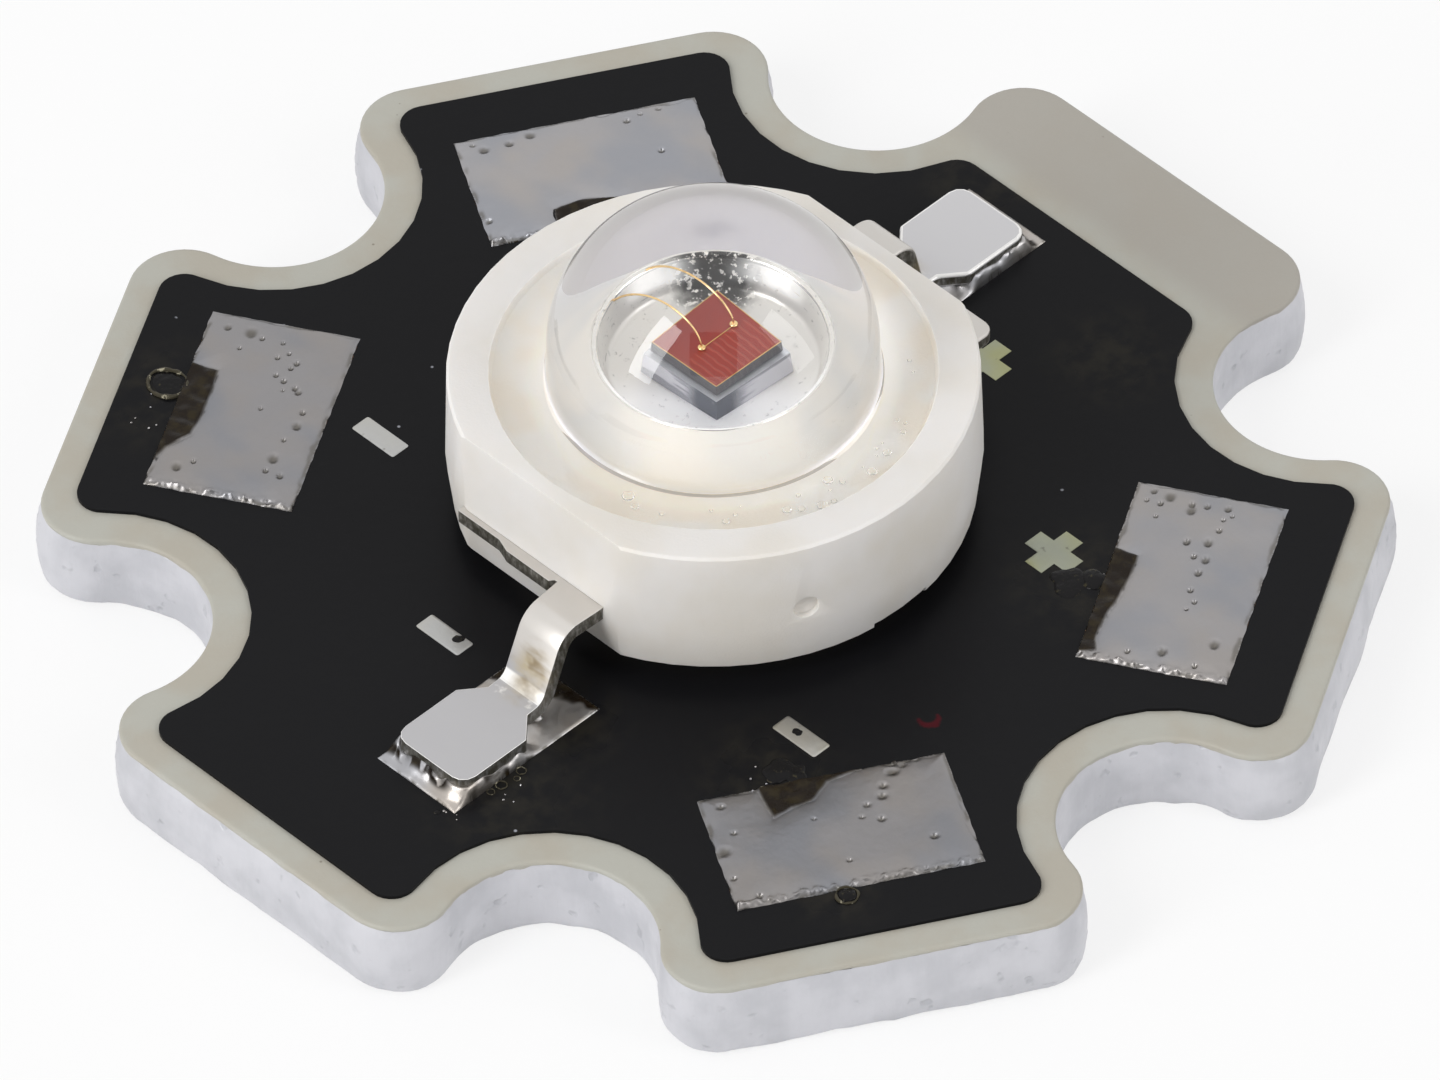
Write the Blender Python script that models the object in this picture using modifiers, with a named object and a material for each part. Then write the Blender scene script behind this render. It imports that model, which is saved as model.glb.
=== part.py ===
"""A power LED emitter soldered on a star-shaped metal-core circuit board.

Metres, +Z up. The origin is the centre of the board's underside. +X runs along the anode arm's bare land,
and the arms follow every 60 degrees.
"""

from math import asin, atan2, ceil, cos, degrees, hypot, pi, radians, sin, sqrt, tan

import bmesh
import bpy
from mathutils import Matrix

NAME = "star_pcb_power_led"

# Board
ARMS = 6
ACROSS_FLATS = 0.0199
BOARD_THICKNESS = 0.0015
NOTCH_RADIUS = 0.0017
NOTCH_CENTRE_INSET = 0.00033
ARM_CORNER_RADIUS = 0.00085
PUNCH_ROLL = 0.00016
DIELECTRIC_THICKNESS = 0.00008
FOIL_THICKNESS = 0.000035
MASK_OVER_FOIL = 0.000025

# Lacquer and copper outlines
MASK_EDGE_MARGIN = 0.0005
MASK_NOTCH_MARGIN = 0.00058
MASK_CORNER_RADIUS = 0.0004
MASK_BEYOND_LEAD_LAND = 0.00044
FOIL_MARGIN = 0.0002
FOIL_GAP = 0.0003
THERMAL_LAND_RADIUS = 0.003

# Wire pads on the four arms that carry no lead
WIRE_PAD_ANGLES = (60, 120, 240, 300)
WIRE_PAD_NOTCH_GAP = 0.000605
WIRE_PAD_WIDTH = 0.00235
WIRE_PAD_EDGE_MARGIN = 0.001445
WIRE_PAD_CORNER = 0.00012
TIN_STEP_HEIGHT = 0.00003
TIN_CROWN_HEIGHT = 0.00003
TIN_STEP_INSET = 0.00014
TIN_CROWN_INSET = 0.00045

# Lead lands, given outwards from the board's centre and across the lead
LAND_START = 0.0044
LAND_END = 0.00747
LAND_LOW = 0.0003
LAND_HIGH = 0.00195
LAND_CORNER = 0.0001
LAND_TIN_HEIGHT = 0.000012
FILLET_REACH = 0.00016
FILLET_CLIMB = 0.00012

# Housing, with heights above the board's top face
STANDOFF = 0.00036
RIM_HEIGHT = 0.002744
PARTING_HEIGHT = 0.0012
RIM_RADIUS = 0.00405
PARTING_RADIUS = 0.00409
FOOT_RADIUS = 0.004
RIM_FLAT = 0.003665
UPPER_FLAT = 0.0038
LOWER_FLAT = 0.00386
FOOT_FLAT = 0.00362
RIM_EDGE = 0.00004
RIM_BORE_RADIUS = 0.00341
SEAT_STEP = 0.00005
SEAT_OUTER_DEPTH = 0.00014
SEAT_INNER_DEPTH = 0.00064
WELL_RADIUS = 0.0023
WELL_DRAFT = 0.00005
GATE_RADIUS = 0.00021
GATE_DEPTH = 0.00007
GATE_ANGLE = -115.0
GATE_HEIGHT = 0.0015
VENT_WIDTH = 0.0011
VENT_HEIGHT = 0.00012
VENT_DEPTH = 0.0006

# Heat slug
SLUG_STANDOFF = 0.0001
SLUG_RADIUS = 0.0029
SLUG_FLANGE_HEIGHT = 0.00065
SLUG_EDGE = 0.0001
POST_RADIUS = 0.0016
POST_SHOULDER_HEIGHT = 0.0023
CUP_RIM_HEIGHT = 0.0033
CUP_DEPTH = 0.0005
CUP_FLOOR_RADIUS = 0.00086
CUP_MOUTH_RADIUS = 0.00122
CUP_RIM_WIDTH = 0.00016

# Lens
LENS_RADIUS = 0.00253
SHOULDER_RADIUS = 0.00228
SHOULDER_HEIGHT = 0.00327
CROWN_ANGLE = 45.0
LENS_SKIRT_DRAFT = 0.00006
FLANGE_TOP_DEPTH = 0.00006
FLANGE_FILLET = 0.00016
FLANGE_SIDE_GAP = 0.00003
CAVITY_RADIUS = 0.0021
CAVITY_HEIGHT = 0.0029
CAVITY_CROWN = 0.0019
CAVITY_DRAFT = 0.00005

# Die stack
DIE_SIDE = 0.00095
DIE_THICKNESS = 0.00012
DIE_OFFSET = 0.00005
SUBMOUNT_SIDE = 0.00105
SUBMOUNT_THICKNESS = 0.00024
DIE_ATTACH_THICKNESS = 0.00002
DIE_ATTACH_MARGIN = 0.00003

# Bond wires, which run towards +Y
WIRE_RADIUS = 0.000015
WIRE_PLACES = (-0.00018, 0.00028)
WIRE_START = 0.00004
BALL_RADIUS = 0.000045
BALL_HEIGHT = 0.00004
LOOP_RISE = 0.00035
LOOP_OVER_RIM = 0.00105
LANDING_FROM_POST = 0.0005
WIRE_POINTS = 22

# Lead frame
LEAD_THICKNESS = 0.00025
LEAD_TOP_HEIGHT = 0.00139
FOOT_TOP_HEIGHT = 0.00037
FLOOR_BELOW_LEAD_TOP = 0.00003
FINGER_RADIUS = 0.0025
FINGER_END_ANGLE = 105.0
FINGER_START_ANGLE = -35.0
ANODE_FINGER_GAP = 0.00015
WING_HIGH = 0.00045
SLOT_ROOT = 0.0039
FOOT_NECK = 0.0055
FOOT_SHOULDER = 0.00588
FOOT_END = 0.0072
FOOT_LOW = 0.00038
FOOT_HIGH = 0.00188
FOOT_CORNER = 0.00025
NECK_LOW = 0.00068
NECK_HIGH = 0.00152

# Clearances: BOND is the face-to-face gap of soldered, glued and moulded joints
BOND = 0.000005
WELD = 1e-8
SAME_POINT = 1e-6

# Facets of a full circle
FINE_STEPS = 60
ROUND_STEPS = 48


class Lead:
    """The sizes in which the two leads differ, along (outwards) and across the lead."""

    def __init__(self, wing, flat_end, bend_radius, bend_run, root, shoulder, finger_gap):
        self.wing_reach, self.wing_step, self.wing_low, self.wing_corner = wing
        self.flat_end = flat_end
        self.bend_radius = bend_radius
        self.bend_run = bend_run
        self.root_low, self.root_high = root
        self.shoulder_low, self.shoulder_high = shoulder
        self.finger_radius = POST_RADIUS + finger_gap

    def bend(self):
        """The angle of each of the two bends and the straight between them."""
        drop = LEAD_TOP_HEIGHT - FOOT_TOP_HEIGHT - 2 * self.bend_radius
        straight = sqrt(self.bend_run**2 + drop**2 - 4 * self.bend_radius**2)
        return atan2(2 * self.bend_radius, straight) + atan2(drop, self.bend_run), straight

    def shift(self):
        """How much longer the flat blank is than the formed lead."""
        angle, straight = self.bend()
        return 2 * self.bend_radius * angle + straight - self.bend_run


ANODE = Lead(
    wing=(0.0046, 0.0, -0.00146, 0.0002),
    flat_end=0.00475,
    bend_radius=0.00024,
    bend_run=0.0006,
    root=(0.00075, 0.00168),
    shoulder=(0.00075, 0.00166),
    finger_gap=ANODE_FINGER_GAP,
)
CATHODE = Lead(
    wing=(0.00389, 0.00009, -0.0016, 0.00003),
    flat_end=0.00435,
    bend_radius=0.00035,
    bend_run=0.00095,
    root=(0.00056, 0.00144),
    shoulder=(0.0006, 0.00142),
    finger_gap=BOND,
)


def board_top():
    return BOARD_THICKNESS


def foil_top():
    return BOARD_THICKNESS - MASK_OVER_FOIL


def foil_bottom():
    return foil_top() - FOIL_THICKNESS


def dielectric_top():
    return foil_bottom() - BOND


def dielectric_bottom():
    return dielectric_top() - DIELECTRIC_THICKNESS


def aluminium_top():
    return dielectric_bottom() - BOND


def above_board(height):
    return board_top() + height


def cup_floor():
    return above_board(CUP_RIM_HEIGHT - CUP_DEPTH)


def submount_top():
    return cup_floor() + BOND + SUBMOUNT_THICKNESS


def die_bottom():
    return submount_top() + BOND + DIE_ATTACH_THICKNESS + BOND


def die_top():
    return die_bottom() + DIE_THICKNESS


def lead_top():
    return above_board(LEAD_TOP_HEIGHT)


def well_floor():
    return lead_top() - FLOOR_BELOW_LEAD_TOP


def slug_shelf():
    return above_board(SLUG_STANDOFF + SLUG_FLANGE_HEIGHT)


def clear_scene():
    for obj in list(bpy.data.objects):
        bpy.data.objects.remove(obj)


def new_collection(name):
    collection = bpy.data.collections.new(name)
    bpy.context.scene.collection.children.link(collection)
    return collection


def material(name, colour, roughness, metallic=0.0, transmission=0.0):
    made = bpy.data.materials.new(name)
    made.use_nodes = True
    shader = made.node_tree.nodes["Principled BSDF"]
    shader.inputs["Base Color"].default_value = (*colour, 1.0)
    shader.inputs["Roughness"].default_value = roughness
    shader.inputs["Metallic"].default_value = metallic
    shader.inputs["Transmission Weight"].default_value = transmission
    made.diffuse_color = (*colour, 1.0)
    return made


def arc(centre, radius, start, end, step=10.0):
    """Points on an arc from start to end, in degrees, both ends included."""
    count = max(1, ceil(abs(end - start) / step - SAME_POINT))
    angles = [radians(start + (end - start) * i / count) for i in range(count + 1)]
    return [(centre[0] + radius * cos(a), centre[1] + radius * sin(a)) for a in angles]


def turned_points(points, angle):
    c, s = cos(radians(angle)), sin(radians(angle))
    return [(c * x - s * y, s * x + c * y) for x, y in points]


def rounded_rectangle(low, high, corner, step=30.0):
    """A rectangle from its low to its high corner, anticlockwise."""
    x0, y0 = low[0] + corner, low[1] + corner
    x1, y1 = high[0] - corner, high[1] - corner
    corners = (((x1, y0), -90), ((x1, y1), 0), ((x0, y1), 90), ((x0, y0), 180))
    return [p for centre, start in corners for p in arc(centre, corner, start, start + 90, step)]


def grown(points, distance):
    """The closed anticlockwise outline moved outwards by a distance, with mitred corners."""
    made = []
    for i, (x, y) in enumerate(points):
        before, after = points[i - 1], points[(i + 1) % len(points)]
        normals = []
        for (x0, y0), (x1, y1) in ((before, (x, y)), ((x, y), after)):
            length = hypot(x1 - x0, y1 - y0)
            normals.append(((y1 - y0) / length, (x0 - x1) / length))
        (ax, ay), (bx, by) = normals
        share = distance / (1 + ax * bx + ay * by)
        made.append((x + (ax + bx) * share, y + (ay + by) * share))
    return made


def notch_centre():
    """The centre of the notch beside the arm that points along +X."""
    radius = ACROSS_FLATS / 2 - NOTCH_CENTRE_INSET
    return radius * cos(pi / ARMS), radius * sin(pi / ARMS)


def arm_end(flat, notch_radius, corner, step):
    """Half-notch to half-notch round the end of the arm that points along +X, anticlockwise."""
    half = pi / ARMS
    notch = notch_centre()
    x = flat - corner
    y = notch[1] - sqrt((notch_radius + corner) ** 2 - (x - notch[0]) ** 2)
    meet = degrees(atan2(notch[1] - y, notch[0] - x))
    upper = arc((x, y), corner, 0, meet, step)
    upper += arc(notch, notch_radius, meet - 180, degrees(half) - 180, step)
    lower = [(px, -py) for px, py in reversed(upper)]
    return lower + upper[:-1]


def star_outline(flat, notch_radius, corner, anode_flat=None, step=15.0):
    """The board's outline: arm ends of the given reach joined by the notches between them."""
    points = []
    for arm in range(ARMS):
        reach = anode_flat if anode_flat and arm == 0 else flat
        points += turned_points(arm_end(reach, notch_radius, corner, step), 360 * arm / ARMS)
    return points


def cleaned(mesh):
    """Welds a mesh made from a curve, turns its faces outwards and joins its flat facets."""
    shape = bmesh.new()
    shape.from_mesh(mesh)
    bmesh.ops.remove_doubles(shape, verts=shape.verts, dist=WELD)
    bmesh.ops.dissolve_limit(shape, angle_limit=radians(0.05), verts=shape.verts, edges=shape.edges)
    bmesh.ops.recalc_face_normals(shape, faces=shape.faces)
    shape.to_mesh(mesh)
    shape.free()
    return mesh


def meshed(guide, name):
    """The mesh of a curve object, at the object's place; the curve is removed."""
    bpy.context.scene.collection.objects.link(guide)
    bpy.context.view_layer.update()
    evaluated = guide.evaluated_get(bpy.context.evaluated_depsgraph_get())
    mesh = cleaned(bpy.data.meshes.new_from_object(evaluated))
    mesh.name = name
    mesh.transform(guide.matrix_world)
    bpy.data.objects.remove(guide)
    return mesh


def plate(name, outlines, bottom, top):
    """A flat sheet between two heights. Outlines inside the first are holes."""
    curve = bpy.data.curves.new(name, "CURVE")
    curve.dimensions = "2D"
    curve.fill_mode = "BOTH"
    curve.extrude = (top - bottom) / 2
    for outline in outlines:
        spline = curve.splines.new("POLY")
        spline.points.add(len(outline) - 1)
        for point, (x, y) in zip(spline.points, outline):
            point.co = (x, y, 0, 1)
        spline.use_cyclic_u = True
    guide = bpy.data.objects.new(name, curve)
    guide.location.z = (bottom + top) / 2
    return meshed(guide, name)


def box(name, low, high):
    shape = bmesh.new()
    size = [b - a for a, b in zip(low, high)]
    middle = [(a + b) / 2 for a, b in zip(low, high)]
    bmesh.ops.create_cube(shape, size=1, matrix=Matrix.Translation(middle) @ Matrix.Diagonal((*size, 1)))
    mesh = bpy.data.meshes.new(name)
    shape.to_mesh(mesh)
    shape.free()
    return mesh


class Builder:
    """Places named objects in the object's collection and cutters in their own."""

    def __init__(self):
        self.parts = new_collection(NAME)
        self.cutters = new_collection("cutters")
        self.root = bpy.data.objects.new("board_datum", None)
        self.parts.objects.link(self.root)

    def add(self, name, mesh, finish, smooth_angle=35.0):
        obj = bpy.data.objects.new(name, mesh)
        obj.parent = self.root
        self.parts.objects.link(obj)
        mesh.materials.append(finish)
        mesh.shade_smooth()
        mesh.set_sharp_from_angle(angle=radians(smooth_angle))
        return obj

    def cutter(self, name, mesh):
        obj = bpy.data.objects.new(name, mesh)
        obj.hide_render = True
        obj.display_type = "WIRE"
        self.cutters.objects.link(obj)
        return obj

    def combine(self, obj, cutter, operation="DIFFERENCE"):
        modifier = obj.modifiers.new(cutter.name, "BOOLEAN")
        modifier.object = cutter
        modifier.operation = operation
        modifier.solver = "EXACT"

    def spin(self, obj, steps):
        modifier = obj.modifiers.new("spin", "SCREW")
        modifier.angle = 2 * pi
        modifier.steps = steps
        modifier.render_steps = steps
        modifier.use_merge_vertices = True
        modifier.merge_threshold = WELD
        modifier.use_smooth_shade = True


def profile_mesh(name, points, closed):
    """A profile in the XZ plane for a Screw modifier, running down its outer side."""
    mesh = bpy.data.meshes.new(name)
    edges = [(i, i + 1) for i in range(len(points) - 1)]
    if closed:
        edges.append((len(points) - 1, 0))
    mesh.from_pydata([(r, 0, z) for r, z in points], edges, [])
    return mesh


def make_aluminium_base(build):
    outline = star_outline(ACROSS_FLATS / 2, NOTCH_RADIUS, ARM_CORNER_RADIUS)
    mesh = plate("aluminium_base", [outline], 0, aluminium_top())
    shape = bmesh.new()
    shape.from_mesh(mesh)
    rolled = [e for e in shape.edges if all(v.co.z < aluminium_top() / 2 for v in e.verts)]
    bmesh.ops.bevel(shape, geom=rolled, offset=PUNCH_ROLL, segments=2, profile=0.5, affect="EDGES")
    shape.to_mesh(mesh)
    shape.free()
    return build.add("aluminium_base", mesh, material("aluminium", (0.78, 0.79, 0.80), 0.42, 1.0))


def make_dielectric_layer(build):
    outline = star_outline(ACROSS_FLATS / 2, NOTCH_RADIUS, ARM_CORNER_RADIUS)
    mesh = plate("dielectric_layer", [outline], dielectric_bottom(), dielectric_top())
    return build.add("dielectric_layer", mesh, material("cream_dielectric", (0.46, 0.44, 0.38), 0.5))


def mask_outline(inset=0.0):
    """The lacquer's edge, or a line that lies a distance inside it."""
    return star_outline(
        ACROSS_FLATS / 2 - MASK_EDGE_MARGIN - inset,
        NOTCH_RADIUS + MASK_NOTCH_MARGIN + inset,
        MASK_CORNER_RADIUS,
        LAND_END + MASK_BEYOND_LEAD_LAND - inset,
    )


def land_outline(corner=LAND_CORNER, inset=0.0):
    low, high = (LAND_START + inset, LAND_LOW + inset), (LAND_END - inset, LAND_HIGH - inset)
    return rounded_rectangle(low, high, corner)


def pad_outline(inset=0.0):
    """A wire pad's opening, for the arm that points along +X."""
    outer = ACROSS_FLATS / 2 - WIRE_PAD_EDGE_MARGIN
    half_length = notch_centre()[1] - NOTCH_RADIUS - MASK_NOTCH_MARGIN - WIRE_PAD_NOTCH_GAP - inset
    low, high = (outer - WIRE_PAD_WIDTH + inset, -half_length), (outer - inset, half_length)
    return rounded_rectangle(low, high, WIRE_PAD_CORNER)


def circle(radius, steps):
    return [(radius * cos(2 * pi * i / steps), radius * sin(2 * pi * i / steps)) for i in range(steps)]


def foil_solid(build, name, side, grow):
    """The copper on one side of the board's middle line, round the thermal land."""
    mesh = plate(name, [mask_outline(FOIL_MARGIN - grow)], foil_bottom() - grow, foil_top() + grow)
    obj = bpy.data.objects.new(name, mesh)
    reach = ACROSS_FLATS
    edge = FOIL_GAP / 2 - grow
    low, high = sorted((side * edge, side * -reach))
    name += "_other_half"
    half = build.cutter(name, box(name, (low, -reach, 0), (high, reach, reach)))
    ring = THERMAL_LAND_RADIUS + FOIL_GAP - grow
    centre = plate(name + "_centre", [circle(ring, FINE_STEPS)], 0, reach)
    hole = build.cutter(name + "_centre", centre)
    build.combine(obj, half)
    build.combine(obj, hole)
    return obj


def thermal_foil_mesh(name, grow):
    outline = circle(THERMAL_LAND_RADIUS + grow, FINE_STEPS)
    return plate(name, [outline], foil_bottom() - grow, foil_top() + grow)


def make_foils(build):
    copper = material("copper_foil", (0.80, 0.42, 0.26), 0.35, 1.0)
    for name, side in (("anode_foil", 1), ("cathode_foil", -1)):
        obj = foil_solid(build, name, side, 0.0)
        obj.parent = build.root
        build.parts.objects.link(obj)
        obj.data.materials.append(copper)
    build.add("thermal_foil", thermal_foil_mesh("thermal_foil", 0.0), copper)


def make_solder_mask(build):
    """Black lacquer that fills the gaps between the foils and is open over every land."""
    mask = build.add(
        "solder_mask",
        plate("solder_mask", [mask_outline()], foil_bottom(), board_top()),
        material("black_solder_mask", (0.016, 0.017, 0.021), 0.4),
    )
    for name, side in (("anode", 1), ("cathode", -1)):
        pocket = foil_solid(build, f"{name}_foil_pocket", side, BOND)
        pocket.hide_render = True
        pocket.display_type = "WIRE"
        build.cutters.objects.link(pocket)
        build.combine(mask, pocket)
        land = turned_points(land_outline(), 90 - 90 * side)
        build.combine(mask, opening(build, f"{name}_land_opening", land))
    build.combine(mask, build.cutter("thermal_foil_pocket", thermal_foil_mesh("thermal_foil_pocket", BOND)))
    thermal = circle(THERMAL_LAND_RADIUS - FOIL_MARGIN, FINE_STEPS)
    build.combine(mask, opening(build, "thermal_opening", thermal))
    for angle in WIRE_PAD_ANGLES:
        build.combine(mask, opening(build, f"pad_opening_{angle}", turned_points(pad_outline(), angle)))


def opening(build, name, outline):
    return build.cutter(name, plate(name, [outline], 0, 2 * board_top()))


def make_wire_pads(build):
    """Tin on each wire pad: a step up from the lacquer and a low crown."""
    tin = material("tin_solder", (0.60, 0.61, 0.64), 0.32, 1.0)
    for angle in WIRE_PAD_ANGLES:
        name = f"solder_pad_{angle}"
        mesh = plate(name, [pad_outline(BOND)], foil_top() + BOND, board_top())
        step_up(mesh, TIN_STEP_INSET, TIN_STEP_HEIGHT)
        step_up(mesh, TIN_CROWN_INSET, TIN_CROWN_HEIGHT)
        build.add(name, mesh, tin).rotation_euler.z = radians(angle)


def drawn_in(verts, inset):
    """Draws vertices towards their middle, so that the outline shrinks by an inset on every side."""
    for axis in (0, 1):
        low = min(v.co[axis] for v in verts)
        high = max(v.co[axis] for v in verts)
        middle, half = (low + high) / 2, (high - low) / 2
        for vert in verts:
            vert.co[axis] = middle + (vert.co[axis] - middle) * (half - inset) / half


def step_up(mesh, inset, rise):
    """Raises the middle of a sheet's top face by a sloping step."""
    shape = bmesh.new()
    shape.from_mesh(mesh)
    top = max(shape.faces, key=lambda face: face.calc_center_median().z)
    raised = bmesh.ops.extrude_face_region(shape, geom=[top])["geom"]
    verts = [item for item in raised if isinstance(item, bmesh.types.BMVert)]
    bmesh.ops.delete(shape, geom=[top], context="FACES_ONLY")
    bmesh.ops.translate(shape, verts=verts, vec=(0, 0, rise))
    drawn_in(verts, inset)
    shape.to_mesh(mesh)
    shape.free()


def taper_top(mesh, inset):
    """Draws the top face of a sheet in on every side."""
    shape = bmesh.new()
    shape.from_mesh(mesh)
    top = max(shape.faces, key=lambda face: face.calc_center_median().z)
    drawn_in(top.verts[:], inset)
    shape.to_mesh(mesh)
    shape.free()


def lead_blank(lead, grow):
    """The lead as punched from the strip, before it is bent: finger, wing, neck and foot."""
    shift = lead.shift()
    step_high = lead.wing_reach + lead.wing_step
    start, end = FINGER_START_ANGLE, FINGER_END_ANGLE
    foot = rounded_rectangle((FOOT_SHOULDER + shift, FOOT_LOW), (FOOT_END + shift, FOOT_HIGH), FOOT_CORNER)
    outer_corners = foot[: len(foot) // 2]
    corner = lead.wing_corner
    outline = arc((lead.wing_reach - corner, lead.wing_low + corner), corner, -90, 0, 30)
    outline += [(lead.wing_reach, -WING_HIGH - LEAD_THICKNESS), (step_high, -WING_HIGH)]
    outline += [(step_high, WING_HIGH), (SLOT_ROOT, WING_HIGH + LEAD_THICKNESS / 4)]
    outline += [(SLOT_ROOT, lead.root_low), (lead.flat_end, lead.shoulder_low)]
    outline += [(FOOT_NECK + shift, NECK_LOW), (FOOT_SHOULDER + shift, FOOT_LOW)]
    outline += outer_corners
    outline += [(FOOT_SHOULDER + shift, FOOT_HIGH), (FOOT_NECK + shift, NECK_HIGH)]
    outline += [(lead.flat_end, lead.shoulder_high), (SLOT_ROOT, lead.root_high)]
    join = degrees(asin(lead.root_high / FINGER_RADIUS))
    outline += arc((0, 0), FINGER_RADIUS, join, end)
    outline += arc((0, 0), lead.finger_radius, end, start)
    outline += [(FINGER_RADIUS * cos(radians(start)), FINGER_RADIUS * sin(radians(start)))]
    before = outline[-1:] + outline[:-1]
    distinct = [p for p, q in zip(outline, before) if hypot(p[0] - q[0], p[1] - q[1]) > SAME_POINT]
    return grown(distinct, grow) if grow else distinct


def formed(lead, along, above):
    """The place, outwards and up, of a point of the blank that lies a height above its middle plane."""
    angle, straight = lead.bend()
    radius = lead.bend_radius
    travel = along - lead.flat_end
    out, up, turn = along, 0.0, 0.0
    if travel > 0:
        turn = min(travel / radius, angle)
        out = lead.flat_end + radius * sin(turn)
        up = -radius * (1 - cos(turn))
        slope = min(max(travel - radius * angle, 0.0), straight)
        out += slope * cos(angle)
        up -= slope * sin(angle)
        back = min(max(travel - radius * angle - straight, 0.0) / radius, angle)
        turn -= back
        out += radius * (sin(angle) - sin(turn)) if back else 0.0
        up -= radius * (cos(turn) - cos(angle)) if back else 0.0
        out += max(travel - 2 * radius * angle - straight, 0.0)
    return out + above * sin(turn), up + above * cos(turn)


def lead_mesh(name, lead, grow=0.0):
    """The blank cut across at the bends and formed down to the board."""
    half = LEAD_THICKNESS / 2 + grow
    mesh = plate(name, [lead_blank(lead, grow)], -half, half)
    angle, straight = lead.bend()
    bends = 6
    lines = [lead.flat_end + lead.bend_radius * angle * i / bends for i in range(bends + 1)]
    lines += [line + lead.bend_radius * angle + straight for line in lines]
    shape = bmesh.new()
    shape.from_mesh(mesh)
    for line in lines:
        everything = shape.verts[:] + shape.edges[:] + shape.faces[:]
        bmesh.ops.bisect_plane(shape, geom=everything, dist=WELD, plane_co=(line, 0, 0), plane_no=(1, 0, 0))
    middle = lead_top() - LEAD_THICKNESS / 2
    for vert in shape.verts:
        out, up = formed(lead, vert.co.x, vert.co.z)
        vert.co.x = out
        vert.co.z = middle + up
    shape.to_mesh(mesh)
    shape.free()
    return mesh


LEADS = (("anode", ANODE, 0.0), ("cathode", CATHODE, 180.0))


def lead_cutter(build, name, lead, turn):
    """A lead's space with the bond gap round it."""
    mesh = lead_mesh(name, lead, BOND)
    mesh.transform(Matrix.Rotation(radians(turn), 4, "Z"))
    return build.cutter(name, mesh)


def make_leads(build):
    plated = material("tinned_lead", (0.72, 0.71, 0.70), 0.24, 1.0)
    spaces = []
    for name, lead, turn in LEADS:
        obj = build.add(f"{name}_lead", lead_mesh(f"{name}_lead", lead), plated)
        obj.rotation_euler.z = radians(turn)
        spaces.append(lead_cutter(build, f"{name}_lead_space", lead, turn))
    return spaces


def make_lead_solders(build, spaces):
    """Solder on each lead land: a thin tinned sheet with a fillet that climbs the foot."""
    solder = material("lead_solder", (0.62, 0.62, 0.63), 0.2, 1.0)
    foot_bottom = above_board(FOOT_TOP_HEIGHT) - LEAD_THICKNESS
    for (name, _lead, turn), space in zip(LEADS, spaces):
        sheet_top = board_top() + LAND_TIN_HEIGHT
        sheet = plate(f"{name}_solder", [land_outline(LAND_CORNER, BOND)], foil_top() + BOND, sheet_top)
        obj = build.add(f"{name}_solder", sheet, solder)
        low = (FOOT_SHOULDER - FILLET_REACH, FOOT_LOW - FILLET_REACH / 2)
        end = min(FOOT_END + FILLET_REACH, LAND_END - BOND)
        high = (end, min(FOOT_HIGH + FILLET_REACH / 2, LAND_HIGH - BOND))
        mound = plate(f"{name}_fillet", [rounded_rectangle(low, high, FOOT_CORNER)],
                      foil_top() + BOND + LAND_TIN_HEIGHT, foot_bottom + FILLET_CLIMB)
        taper_top(mound, FILLET_REACH / 3)
        fillet = build.cutter(f"{name}_fillet", mound)
        fillet.rotation_euler.z = radians(turn)
        obj.rotation_euler.z = radians(turn)
        build.combine(obj, fillet, "UNION")
        build.combine(obj, space)


def make_heat_slug(build):
    """A turned slug: flange, post and the cup that holds the die."""
    bottom = above_board(SLUG_STANDOFF)
    rim = above_board(CUP_RIM_HEIGHT)
    cup_outer = CUP_MOUTH_RADIUS + CUP_RIM_WIDTH
    profile = [(0, cup_floor()), (CUP_FLOOR_RADIUS, cup_floor()), (CUP_MOUTH_RADIUS, rim), (cup_outer, rim)]
    profile += [(POST_RADIUS, above_board(POST_SHOULDER_HEIGHT)), (POST_RADIUS, slug_shelf())]
    profile += [(SLUG_RADIUS - SLUG_EDGE, slug_shelf()), (SLUG_RADIUS, slug_shelf() - SLUG_EDGE)]
    profile += [(SLUG_RADIUS, bottom + SLUG_EDGE), (SLUG_RADIUS - SLUG_EDGE, bottom), (0, bottom)]
    slug = build.add("heat_slug", profile_mesh("heat_slug", profile, False),
                     material("silvered_slug", (0.82, 0.82, 0.80), 0.18, 1.0))
    build.spin(slug, ROUND_STEPS)


def make_slug_solder(build):
    radius = min(SLUG_RADIUS, THERMAL_LAND_RADIUS - FOIL_MARGIN) - 2 * BOND
    layer = [circle(radius, ROUND_STEPS)]
    mesh = plate("slug_solder", layer, foil_top() + BOND, above_board(SLUG_STANDOFF) - BOND)
    build.add("slug_solder", mesh, material("slug_solder", (0.62, 0.62, 0.63), 0.3, 1.0))


def seat_radius():
    return RIM_BORE_RADIUS - SEAT_STEP


def well_mouth():
    """Radius and height of the edge where the lens seat drops into the well."""
    return WELL_RADIUS + WELL_DRAFT, above_board(RIM_HEIGHT - SEAT_INNER_DEPTH)


def seat_height(radius):
    """The height of the conical lens seat at a radius."""
    mouth, low = well_mouth()
    high = above_board(RIM_HEIGHT - SEAT_OUTER_DEPTH)
    return low + (high - low) * (radius - mouth) / (seat_radius() - mouth)


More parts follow.
